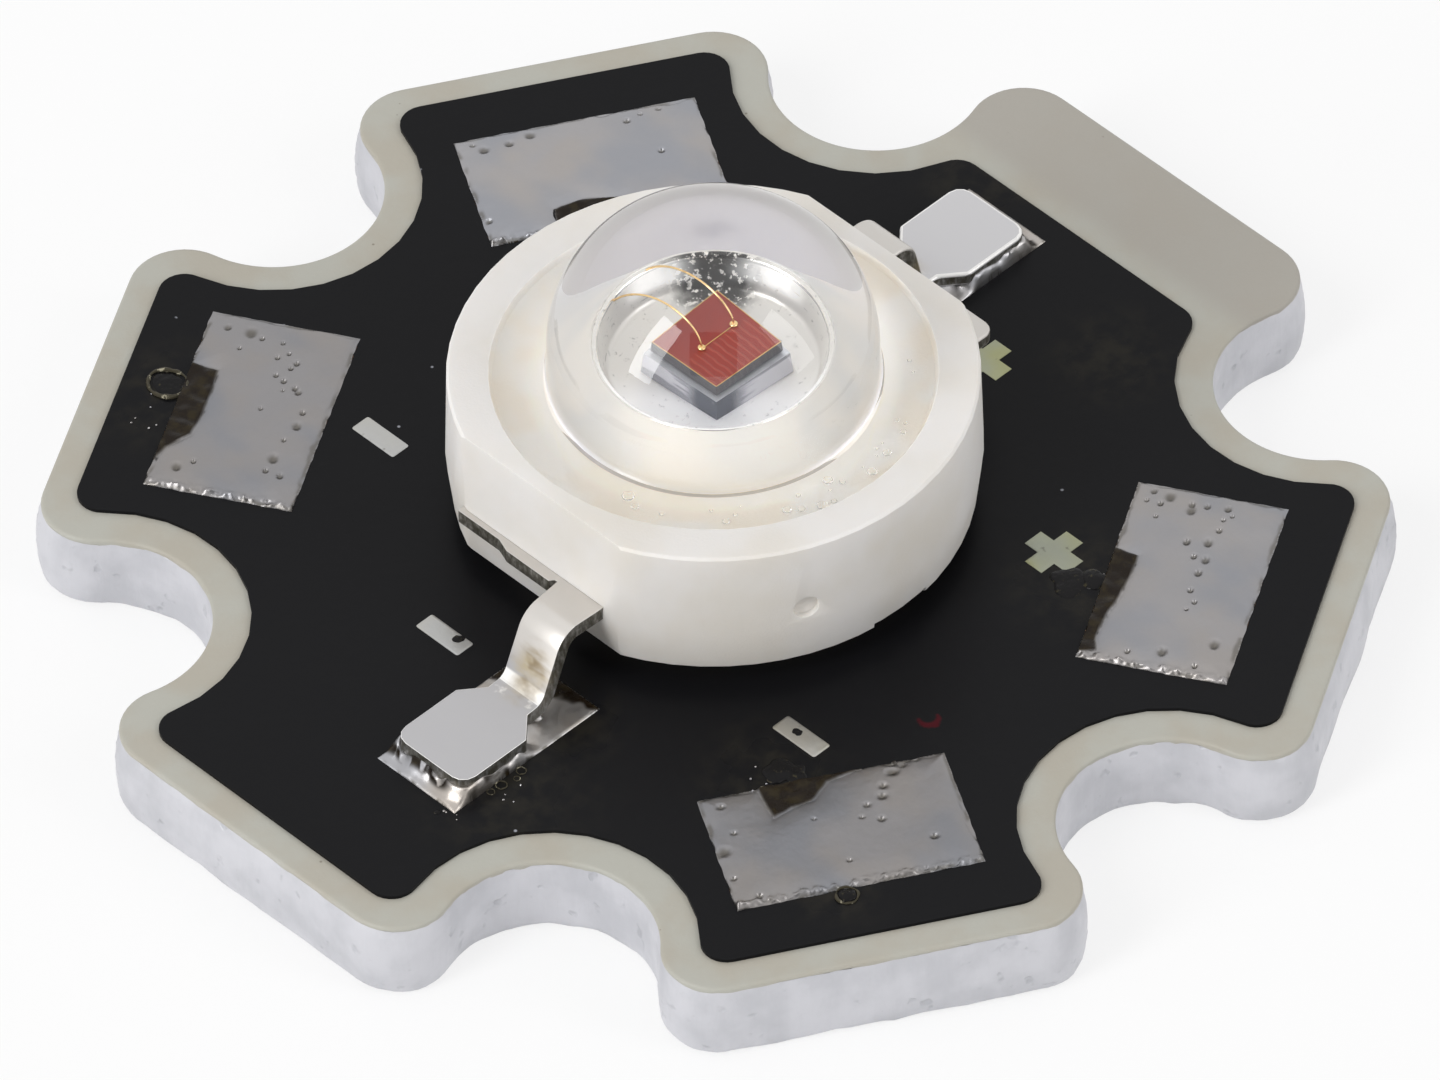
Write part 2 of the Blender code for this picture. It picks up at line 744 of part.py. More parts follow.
def make_housing(build, spaces):
    """The moulded body: a drafted drum with two flats, a lens seat, a well and a recess for the slug."""
    rim = above_board(RIM_HEIGHT)
    foot = above_board(STANDOFF)
    mouth, mouth_height = well_mouth()
    profile = [(RIM_RADIUS - RIM_EDGE, rim), (RIM_RADIUS, rim - RIM_EDGE)]
    profile += [(PARTING_RADIUS, above_board(PARTING_HEIGHT)), (FOOT_RADIUS, foot + RIM_EDGE)]
    profile += [(FOOT_RADIUS - RIM_EDGE, foot), (SLUG_RADIUS + BOND, foot)]
    profile += [(SLUG_RADIUS + BOND, slug_shelf() + BOND), (POST_RADIUS + BOND, slug_shelf() + BOND)]
    profile += [(POST_RADIUS + BOND, well_floor()), (WELL_RADIUS, well_floor()), (mouth, mouth_height)]
    profile += [(seat_radius(), seat_height(seat_radius())), (RIM_BORE_RADIUS, rim)]
    body = build.add("housing", profile_mesh("housing", profile, True),
                     material("white_moulding", (0.74, 0.73, 0.70), 0.38))
    build.spin(body, FINE_STEPS)
    for name, turn in (("anode_flat", 0.0), ("cathode_flat", 180.0)):
        build.combine(body, build.cutter(name, flat_cutter(name, turn)))
    for space in spaces:
        build.combine(body, space)
    build.combine(body, build.cutter("gate_mark", gate_cutter()))
    reach = PARTING_RADIUS
    for name, side in (("back_vent", 1), ("front_vent", -1)):
        near, far = sorted((side * (reach - VENT_DEPTH), side * 2 * reach))
        low, high = (-VENT_WIDTH / 2, near, foot - VENT_HEIGHT), (VENT_WIDTH / 2, far, foot + VENT_HEIGHT)
        build.combine(body, build.cutter(name, box(name, low, high)))


def gate_cutter():
    """The round mark that the mould's gate leaves in the wall."""
    turn = radians(GATE_ANGLE)
    middle = (PARTING_RADIUS * cos(turn), PARTING_RADIUS * sin(turn), above_board(GATE_HEIGHT))
    lie = Matrix.Rotation(turn, 4, "Z") @ Matrix.Rotation(pi / 2, 4, "Y")
    shape = bmesh.new()
    depth = 2 * (GATE_DEPTH + PARTING_RADIUS - RIM_RADIUS)
    bmesh.ops.create_cone(shape, cap_ends=True, segments=16, radius1=GATE_RADIUS, radius2=GATE_RADIUS,
                          depth=depth, matrix=Matrix.Translation(middle) @ lie)
    mesh = bpy.data.meshes.new("gate_mark")
    shape.to_mesh(mesh)
    shape.free()
    return mesh


def flat_cutter(name, turn):
    """What the mould leaves off one side of the drum: a flat with draft above and below the lead."""
    reach = 2 * PARTING_RADIUS
    rim, foot = above_board(RIM_HEIGHT), above_board(STANDOFF)
    underside = lead_top() - LEAD_THICKNESS
    outline = [(FOOT_FLAT, foot), (LOWER_FLAT, underside), (UPPER_FLAT, lead_top()), (RIM_FLAT, rim)]
    over = rim - foot
    upper_draft = (RIM_FLAT - UPPER_FLAT) / (rim - lead_top())
    lower_draft = (LOWER_FLAT - FOOT_FLAT) / (underside - foot)
    outline += [(RIM_FLAT + upper_draft * over, rim + over), (reach, rim + over)]
    outline += [(reach, foot - over), (FOOT_FLAT - lower_draft * over, foot - over)]
    mesh = plate(name, [outline[::-1]], -reach, reach)
    mesh.transform(Matrix.Rotation(radians(turn), 4, "Z") @ Matrix.Rotation(pi / 2, 4, "X"))
    return mesh


def dome_points():
    """The lens from its apex to its widest circle: a crown arc that runs into the shoulder arc."""
    offset = LENS_RADIUS - SHOULDER_RADIUS
    centre = above_board(SHOULDER_HEIGHT)
    crown = SHOULDER_RADIUS + offset / cos(radians(CROWN_ANGLE))
    crown_centre = centre - offset * tan(radians(CROWN_ANGLE))
    points = arc((0, crown_centre), crown, 90, CROWN_ANGLE, 9)
    points[0] = (0, crown_centre + crown)
    return points + arc((offset, centre), SHOULDER_RADIUS, CROWN_ANGLE, 0, 9)[1:]


def cavity_points(gap):
    """The inside of the lens from its apex down, or the gel's surface a gap inside it."""
    centre = above_board(CAVITY_HEIGHT)
    angles = [radians(90 - 15 * i) for i in range(7)]
    points = [((CAVITY_RADIUS - gap) * cos(a), centre + (CAVITY_CROWN - gap) * sin(a)) for a in angles]
    points[0] = (0, points[0][1])
    return points


def make_lens(build):
    """The clear dome, its skirt and the flange that seats in the housing."""
    flange_radius = seat_radius() - FLANGE_SIDE_GAP
    flange_top = above_board(RIM_HEIGHT - FLANGE_TOP_DEPTH)
    skirt_radius = LENS_RADIUS + LENS_SKIRT_DRAFT
    mouth, mouth_height = well_mouth()
    under = mouth_height + BOND
    outer = dome_points()
    fillet = (skirt_radius + FLANGE_FILLET, flange_top + FLANGE_FILLET)
    outer += arc(fillet, FLANGE_FILLET, 180, 270, 30)
    outer += [(flange_radius, flange_top), (flange_radius, seat_height(flange_radius) + BOND), (mouth, under)]
    inner = [(CAVITY_RADIUS + CAVITY_DRAFT, under)] + cavity_points(0.0)[::-1]
    lens = build.add("lens", profile_mesh("lens", outer + inner, False),
                     material("clear_lens", (1.0, 1.0, 1.0), 0.02, 0.0, 1.0))
    build.spin(lens, ROUND_STEPS)


def gel_profile():
    """Down the lens cavity and the well, then up the post, over the cup's rim and down to its floor."""
    mouth, mouth_height = well_mouth()
    rim = above_board(CUP_RIM_HEIGHT) + BOND
    post = POST_RADIUS + BOND
    cup_outer = CUP_MOUTH_RADIUS + CUP_RIM_WIDTH + BOND
    profile = cavity_points(BOND)
    profile += [(CAVITY_RADIUS + CAVITY_DRAFT - BOND, mouth_height), (mouth - BOND, mouth_height)]
    profile += [(WELL_RADIUS - BOND, well_floor() + BOND), (post, well_floor() + BOND)]
    profile += [(post, above_board(POST_SHOULDER_HEIGHT)), (cup_outer, rim), (CUP_MOUTH_RADIUS - BOND, rim)]
    return profile + [(CUP_FLOOR_RADIUS - BOND, cup_floor() + BOND), (0, cup_floor() + BOND)]


def square(side, bottom, top, name):
    middle = DIE_OFFSET
    return box(name, (middle - side / 2, -side / 2, bottom), (middle + side / 2, side / 2, top))


def make_die_stack(build):
    """Submount, bond layer and die, stacked on the cup's floor."""
    attach_side = DIE_SIDE - 2 * DIE_ATTACH_MARGIN
    attach_bottom = submount_top() + BOND
    submount = square(SUBMOUNT_SIDE, cup_floor() + BOND, submount_top(), "submount")
    build.add("submount", submount, material("submount", (0.42, 0.43, 0.45), 0.25, 0.8))
    attach = square(attach_side, attach_bottom, attach_bottom + DIE_ATTACH_THICKNESS, "die_attach")
    build.add("die_attach", attach, material("silver_adhesive", (0.6, 0.6, 0.6), 0.4, 0.8))
    die = square(DIE_SIDE, die_bottom(), die_top(), "led_die")
    build.add("led_die", die, material("red_die", (0.42, 0.05, 0.03), 0.3))
    submount_space = square(SUBMOUNT_SIDE + 2 * BOND, cup_floor() - BOND, attach_bottom, "submount_space")
    die_space = square(DIE_SIDE + 2 * BOND, submount_top(), die_top() + BOND, "die_space")
    return [build.cutter("submount_space", submount_space), build.cutter("die_space", die_space)]


def wire_path(place):
    """A bond wire's middle line: a cubic from the ball over the cup's rim to the anode finger."""
    landing = POST_RADIUS + LANDING_FROM_POST
    start = (WIRE_START, die_top() + BALL_HEIGHT)
    rise = (WIRE_START + BALL_RADIUS, start[1] + LOOP_RISE)
    over = (landing, above_board(CUP_RIM_HEIGHT + LOOP_OVER_RIM))
    end = (landing, lead_top() + BOND + WIRE_RADIUS)
    points = []
    for i in range(WIRE_POINTS):
        t = i / (WIRE_POINTS - 1)
        weights = ((1 - t) ** 3, 3 * t * (1 - t) ** 2, 3 * t**2 * (1 - t), t**3)
        y, z = (sum(w * p[axis] for w, p in zip(weights, (start, rise, over, end))) for axis in (0, 1))
        points.append((place, y, z))
    return points


def wire_mesh(name, place, grow):
    curve = bpy.data.curves.new(name, "CURVE")
    curve.dimensions = "3D"
    curve.bevel_depth = WIRE_RADIUS + grow
    curve.bevel_resolution = 1
    curve.use_fill_caps = True
    spline = curve.splines.new("POLY")
    points = wire_path(place)
    spline.points.add(len(points) - 1)
    for point, co in zip(spline.points, points):
        point.co = (*co, 1)
    return meshed(bpy.data.objects.new(name, curve), name)


def ball_mesh(name, place, grow):
    """The squashed ball that bonds a wire to the die."""
    shape = bmesh.new()
    bmesh.ops.create_uvsphere(shape, u_segments=16, v_segments=8, radius=1)
    half = BALL_HEIGHT / 2 + grow
    height = die_top() + BOND + BALL_HEIGHT / 2
    flatten = Matrix.Diagonal((BALL_RADIUS + grow, BALL_RADIUS + grow, half, 1))
    shape.transform(Matrix.Translation((place, WIRE_START, height)) @ flatten)
    mesh = bpy.data.meshes.new(name)
    shape.to_mesh(mesh)
    shape.free()
    return mesh


def make_bond_wires(build):
    gold = material("gold_wire", (0.95, 0.70, 0.30), 0.2, 1.0)
    spaces = []
    for letter, place in zip("ab", WIRE_PLACES):
        middle = place + DIE_OFFSET
        name = f"bond_wire_{letter}"
        wire = build.add(name, wire_mesh(name, middle, 0.0), gold)
        ball = build.cutter(f"ball_{letter}", ball_mesh(f"ball_{letter}", middle, 0.0))
        build.combine(wire, ball, "UNION")
        spaces.append(build.cutter(f"{name}_space", wire_mesh(f"{name}_space", middle, BOND)))
        spaces.append(build.cutter(f"ball_{letter}_space", ball_mesh(f"ball_{letter}_space", middle, BOND)))
    return spaces


def make_silicone_gel(build, spaces):
    gel = build.add("silicone_gel", profile_mesh("silicone_gel", gel_profile(), False),
                    material("silicone_gel", (1.0, 0.99, 0.97), 0.02, 0.0, 1.0))
    build.spin(gel, ROUND_STEPS)
    for space in spaces:
        build.combine(gel, space)


def main():
    clear_scene()
    build = Builder()
    make_aluminium_base(build)
    make_dielectric_layer(build)
    make_foils(build)
    make_solder_mask(build)
    make_wire_pads(build)
    lead_spaces = make_leads(build)
    make_lead_solders(build, lead_spaces)
    make_slug_solder(build)
    make_heat_slug(build)
    make_housing(build, lead_spaces)
    make_lens(build)
    die_spaces = make_die_stack(build)
    wire_spaces = make_bond_wires(build)
    make_silicone_gel(build, die_spaces + wire_spaces + lead_spaces)


if __name__ == "__main__":
    main()
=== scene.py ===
"""Looks of a power LED emitter soldered on a star-shaped metal-core circuit board.

Lengths are in metres; MM turns a millimetre into one. The board's underside centre is the origin, +Z is up
and +X runs along the arm with the bare land.
"""

import logging
from dataclasses import dataclass, field
from enum import Enum
from functools import reduce
from typing import Any

import bmesh
import bpy
import numpy as np
from mathutils import Matrix, Vector


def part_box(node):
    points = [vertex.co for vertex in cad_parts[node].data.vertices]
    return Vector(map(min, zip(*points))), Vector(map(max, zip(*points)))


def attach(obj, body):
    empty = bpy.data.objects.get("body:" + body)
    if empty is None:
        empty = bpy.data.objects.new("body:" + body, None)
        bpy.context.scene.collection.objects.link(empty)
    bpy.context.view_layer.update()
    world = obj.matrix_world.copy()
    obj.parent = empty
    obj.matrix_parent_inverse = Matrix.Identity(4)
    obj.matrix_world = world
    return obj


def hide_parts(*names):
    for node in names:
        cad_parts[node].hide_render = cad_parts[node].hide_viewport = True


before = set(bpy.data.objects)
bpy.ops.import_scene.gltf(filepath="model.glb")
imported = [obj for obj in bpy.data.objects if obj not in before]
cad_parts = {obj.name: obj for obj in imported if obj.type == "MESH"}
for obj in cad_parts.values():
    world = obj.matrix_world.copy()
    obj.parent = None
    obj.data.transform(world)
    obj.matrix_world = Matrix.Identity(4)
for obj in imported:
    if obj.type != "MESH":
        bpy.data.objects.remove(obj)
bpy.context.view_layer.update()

MM = 0.001
MASK_DEPTH = 0.02 * MM
Array = np.ndarray
Pair = tuple[float, float]
Point = tuple[float, float, float]
Colour = tuple[float, float, float]
Box = tuple[float, float, float, float]
Values = dict[Any, Any]
Material = bpy.types.Material
Piece = bpy.types.Object
Node = bpy.types.Node
Socket = bpy.types.NodeSocket
LOG = logging.getLogger("star_pcb_power_led")


def srgb(red: float, green: float, blue: float) -> Colour:
    """The linear colour of three display values.

    Args:
        red, green, blue: the display values from 0 to 255.

    Returns:
        The three linear values from 0 to 1.
    """
    share = np.array([red, green, blue]) / 255
    linear = np.where(share <= 0.04045, share / 12.92, ((share + 0.055) / 1.055) ** 2.4)
    return tuple(float(v) for v in linear)


# Surfaces


def smooth_step(value: Array, low: float, high: float) -> Array:
    """0 below low, 1 above high, and the cubic 3t^2 - 2t^3 between them."""
    t = np.clip((value - low) / (high - low), 0, 1)
    return t * t * (3 - 2 * t)


def bell(distance: Array, width: float, power: float = 2) -> Array:
    """1 at no distance and fading over a width, as exp(-(distance / width)^power)."""
    return np.exp(-((distance / width) ** power))


def ripple(x: Array, y: Array, seed: int, length: float, waves: int = 18) -> Array:
    """Smooth random relief of about -1 to 1: the sum of plane waves of about one length in random directions.

    Args:
        x, y: the places.
        seed: picks the directions and phases.
        length: the usual wavelength.
        waves: how many waves are summed.

    Returns:
        The relief at each place.
    """
    rng = np.random.default_rng(seed)
    turn, phase = rng.uniform(0, 2 * np.pi, (2, waves))
    pitch = 2 * np.pi / (length * rng.uniform(0.6, 1.8, waves))
    along = x[..., None] * np.cos(turn) + y[..., None] * np.sin(turn)
    return np.cos(along * pitch + phase).sum(-1) * np.sqrt(2 / waves) / 2


def mitres(outline: Array) -> Array:
    """How far the points of a closed outline move when both their edges move outwards by 1.

    The outward normals n1 and n2 of the edges before and after a point give (n1 + n2) / (1 + n1.n2).

    Args:
        outline: the points, anticlockwise.

    Returns:
        The vector of each point.
    """
    after = np.roll(outline, -1, 0) - outline
    after = np.stack([after[:, 1], -after[:, 0]], 1) / np.linalg.norm(after, axis=1)[:, None]
    before = np.roll(after, 1, 0)
    return (before + after) / (1 + (before * after).sum(1))[:, None]


def arc(centre: Pair, radius: float, start: float, end: float, count: int) -> Array:
    """Points on a circle from one angle in radians to another, both included."""
    angle = np.linspace(start, end, count)
    return np.stack([centre[0] + radius * np.cos(angle), centre[1] + radius * np.sin(angle)], 1)


def turned(points: Array, degrees: float) -> Array:
    """Points of a plane turned about the origin."""
    x, y, cos, sin = points[..., 0], points[..., 1], np.cos(np.radians(degrees)), np.sin(np.radians(degrees))
    return np.stack([x * cos - y * sin, x * sin + y * cos], -1)


def rectangle(width: float, height: float, corner: float, steps: int = 4) -> Array:
    """A rectangle round the origin with rounded corners.

    Args:
        width, height: its size.
        corner: the radius of its corners.
        steps: the points of each corner.

    Returns:
        Its points, anticlockwise.
    """
    x, y = width / 2 - corner, height / 2 - corner
    quarter = np.pi / 2
    corners = (((x, -y), -quarter), ((x, y), 0), ((-x, y), quarter), ((-x, -y), 2 * quarter))
    return np.concatenate([arc(c, corner, a, a + quarter, steps) for c, a in corners])


def rounded(corners: list[Point], steps: int = 7) -> Array:
    """A profile through corners, each softened by the curve (1-t)^2 A + 2t(1-t) B + t^2 C.

    Args:
        corners: the radius and height of each corner, and how far along its sides the softening starts.
        steps: the points of each softened corner.

    Returns:
        The profile's points.
    """
    made = []
    t = np.linspace(0, 1, steps)[:, None]
    for i, (r, z, soft) in enumerate(corners):
        here = np.array([r, z])
        if soft == 0 or i in (0, len(corners) - 1):
            made.append(here[None])
            continue
        ends = []
        for j in (i - 1, i + 1):
            side = np.array(corners[j][:2]) - here
            ends.append(here + side / np.linalg.norm(side) * soft)
        made.append((1 - t) ** 2 * ends[0] + 2 * t * (1 - t) * here + t**2 * ends[1])
    return np.concatenate(made)


@dataclass
class Shell:
    """Points and faces that are gathered and then made into one closed piece."""

    name: str
    points: list[Array] = field(default_factory=list)
    faces: list[list[int]] = field(default_factory=list)
    count: int = 0

    def grid(self, points: Array, closed: bool = False) -> "Shell":
        """Adds a sheet of quads.

        Args:
            points: rows of points, of shape (rows, columns, 3).
            closed: whether the last column joins the first.

        Returns:
            The shell itself.
        """
        rows, columns = points.shape[:2]
        spans = columns if closed else columns - 1
        row, column = np.meshgrid(np.arange(rows - 1), np.arange(spans), indexing="ij")
        after = (column + 1) % columns
        corners = [row * columns + column, row * columns + after]
        corners += [(row + 1) * columns + after, (row + 1) * columns + column]
        self.faces += (np.stack(corners, -1).reshape(-1, 4) + self.count).tolist()
        self.points.append(points.reshape(-1, 3))
        self.count += rows * columns
        return self

    def cap(self, ring: Array, up: bool) -> "Shell":
        """Adds one flat face.

        Args:
            ring: its points, anticlockwise.
            up: whether it looks up.

        Returns:
            The shell itself.
        """
        order = list(range(self.count, self.count + len(ring)))
        self.faces.append(order if up else order[::-1])
        self.points.append(ring)
        self.count += len(ring)
        return self

    def skin(self, rows: Array) -> "Shell":
        """Adds rings of points, the lowest first, as a skin that a flat face closes at both ends."""
        return self.grid(rows, closed=True).cap(rows[0], up=False).cap(rows[-1], up=True)

    def stack(self, outline: Array, levels: list[tuple[Any, Any]]) -> "Shell":
        """Adds a closed slab: an outline carried through (inset, height) levels from the bottom up.

        Args:
            outline: the closed anticlockwise outline, of shape (points, 2).
            levels: how far inside the outline each level lies, and its height, alike or point by point.

        Returns:
            The shell itself.
        """
        out = mitres(outline)
        rings = []
        for inset, height in levels:
            flat = outline - out * np.reshape(inset, (-1, 1))
            rings.append(np.column_stack([flat, np.broadcast_to(height, len(flat))]))
        return self.skin(np.stack(rings))

    def relief(self, top: Array, floor: float) -> "Shell":
        """Adds a sheet that looks up, with an upright skirt from its border down to a flat floor.

        Args:
            top: the sheet, of shape (rows, columns, 3).
            floor: the floor's height.

        Returns:
            The shell itself.
        """
        ring = np.concatenate([top[0], top[1:, -1], top[-1, -2::-1], top[-2:0:-1, 0]])
        foot = ring * [1, 1, 0] + [0, 0, floor]
        return self.grid(top).grid(np.stack([foot, ring]), closed=True).cap(foot, up=False)

    def spin(self, profile: Array, columns: int, centre: Pair = (0.0, 0.0)) -> "Shell":
        """Adds a surface of revolution: (r, z) becomes (r cos a, r sin a, z) for angles a all round.

        Args:
            profile: the radius and height of each ring.
            columns: the points of each ring.
            centre: where the axis stands.

        Returns:
            The shell itself.
        """
        angle = np.arange(columns) * 2 * np.pi / columns
        r, z = profile[:, :1], profile[:, 1:]
        ring = [centre[0] + r * np.cos(angle), centre[1] + r * np.sin(angle), z + 0 * angle]
        return self.grid(np.stack(ring, -1), closed=True)

    def tube(self, path: Array, radius: float, sides: int) -> "Shell":
        """Adds a closed tube along a path: a circle in the plane square to the path at each point.

        Args:
            path: the middle line's points, which lie in a plane of constant x.
            radius: the tube's radius.
            sides: the points of each circle.

        Returns:
            The shell itself.
        """
        along = np.gradient(path, axis=0)
        along /= np.linalg.norm(along, axis=1)[:, None]
        side = np.array([1.0, 0.0, 0.0])
        across = np.cross(along, side)
        angle = np.arange(sides) * 2 * np.pi / sides
        ring = np.cos(angle)[:, None] * side + np.sin(angle)[:, None] * across[:, None, :]
        return self.skin(path[:, None, :] + ring * radius)

    def piece(
        self,
        finish: Material,
        slot: str,
        replaces: tuple[str, ...] = (),
        sharp: float = 40.0,
        marks: dict[str, Array] | None = None,
    ) -> Piece:
        """Makes the object: welds the sheets, turns them outwards, shades them and hangs it on the body.

        Args:
            finish: the material.
            slot: not used.
            replaces: the CAD nodes that it stands for.
            sharp: the angle in degrees above which an edge stays sharp.
            marks: named values of the first points, for the material; the other points have 0.

        Returns:
            The object.
        """
        mesh = bpy.data.meshes.new(self.name)
        mesh.from_pydata(np.concatenate(self.points).tolist(), [], self.faces)
        for name, values in (marks or {}).items():
            held = np.zeros(self.count, np.float32)
            held[: values.size] = values.ravel()
            mesh.attributes.new(name, "FLOAT", "POINT").data.foreach_set("value", held)
        shape = bmesh.new()
        shape.from_mesh(mesh)
        bmesh.ops.remove_doubles(shape, verts=shape.verts, dist=1e-8)
        bmesh.ops.dissolve_degenerate(shape, edges=shape.edges, dist=1e-9)
        if shape.calc_volume(signed=True) < 0:
            bmesh.ops.reverse_faces(shape, faces=shape.faces)
        shape.to_mesh(mesh)
        shape.free()
        return hang(self.name, mesh, finish, replaces, sharp)


def linked(name: str, data: bpy.types.ID) -> Piece:
    """Adds an object to the scene.

    Args:
        name: its name.
        data: its mesh, lamp or camera.

    Returns:
        The object.
    """
    made = bpy.data.objects.new(name, data)
    bpy.context.scene.collection.objects.link(made)
    return made


def hang(
    name: str,
    mesh: bpy.types.Mesh,
    finish: Material,
    replaces: tuple[str, ...] = (),
    sharp: float = 40.0,
) -> Piece:
    """Makes a mesh an object of the scene that rides on the body.

    Args:
        name: the piece's name.
        mesh: its mesh, in place.
        finish: the material.
        replaces: the CAD nodes that it stands for.
        sharp: the angle in degrees above which an edge stays sharp.

    Returns:
        The object.
    """
    mesh.shade_smooth()
    mesh.set_sharp_from_angle(angle=np.radians(sharp))
    mesh.materials.clear()
    mesh.materials.append(finish)
    piece = linked(name, mesh)
    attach(piece, "root")
    if replaces:
        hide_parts(*replaces)
    LOG.info("%s: %d faces", name, len(mesh.polygons))
    return piece


def softened(name: str, node: str, finish: Material, edge: float) -> Piece:
    """A CAD node's form with its sharp edges rounded, as a new piece that stands for it.

    Args:
        name: the piece's name.
        node: the CAD node.
        finish: the material.
        edge: how wide the rounding is.

    Returns:
        The object.
    """
    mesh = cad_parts[node].data.copy()
    shape = bmesh.new()
    shape.from_mesh(mesh)
    bmesh.ops.remove_doubles(shape, verts=shape.verts, dist=1e-7)
    bmesh.ops.dissolve_limit(shape, angle_limit=np.radians(0.6), verts=shape.verts, edges=shape.edges)
    shape.to_mesh(mesh)
    shape.free()
    piece = hang(name, mesh, finish, (node,), sharp=180.0)
    bevel = piece.modifiers.new("edges", "BEVEL")
    bevel.width = edge
    bevel.segments = 3
    bevel.limit_method = "ANGLE"
    bevel.angle_limit = np.radians(28)
    bevel.use_clamp_overlap = True
    piece.modifiers.new("shading", "WEIGHTED_NORMAL").keep_sharp = True
    return piece


def dress(node: str, finish: Material) -> None:
    """Gives a CAD node that stays in view its material.

    Args:
        node: the CAD node.
        finish: the material.
    """
    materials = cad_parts[node].data.materials
    materials.clear()
    materials.append(finish)
    LOG.info("%s: dressed", node)


# Shading


class Number:
    """A socket's value that takes part in Python arithmetic by adding Math nodes."""

    def __init__(self, shader: "Shader", socket: Socket) -> None:
        """Wraps a socket of a shader's tree."""
        self.shader = shader
        self.socket = socket

    def math(self, operation: str, *values: Any) -> "Number":
        """The result of a Math node on the given values."""
        return self.shader.number("ShaderNodeMath", {"operation": operation}, dict(enumerate(values)))

    def __add__(self, other: Any) -> "Number":
        """self + other."""
        return self.math("ADD", self, other)

    def __sub__(self, other: Any) -> "Number":
        """self - other."""
        return self.math("SUBTRACT", self, other)

    def __rsub__(self, other: Any) -> "Number":
        """other - self."""
        return self.math("SUBTRACT", other, self)

    def __mul__(self, other: Any) -> "Number":
        """self * other."""
        return self.math("MULTIPLY", self, other)

    def __abs__(self) -> "Number":
        """The value without its sign."""
        return self.math("ABSOLUTE", self)

    def sine(self) -> "Number":
        """The sine of the value."""
        return self.math("SINE", self)

    def most(self, other: Any) -> "Number":
        """The larger of two values."""
        return self.math("MAXIMUM", self, other)

    __radd__ = __add__
    __rmul__ = __mul__


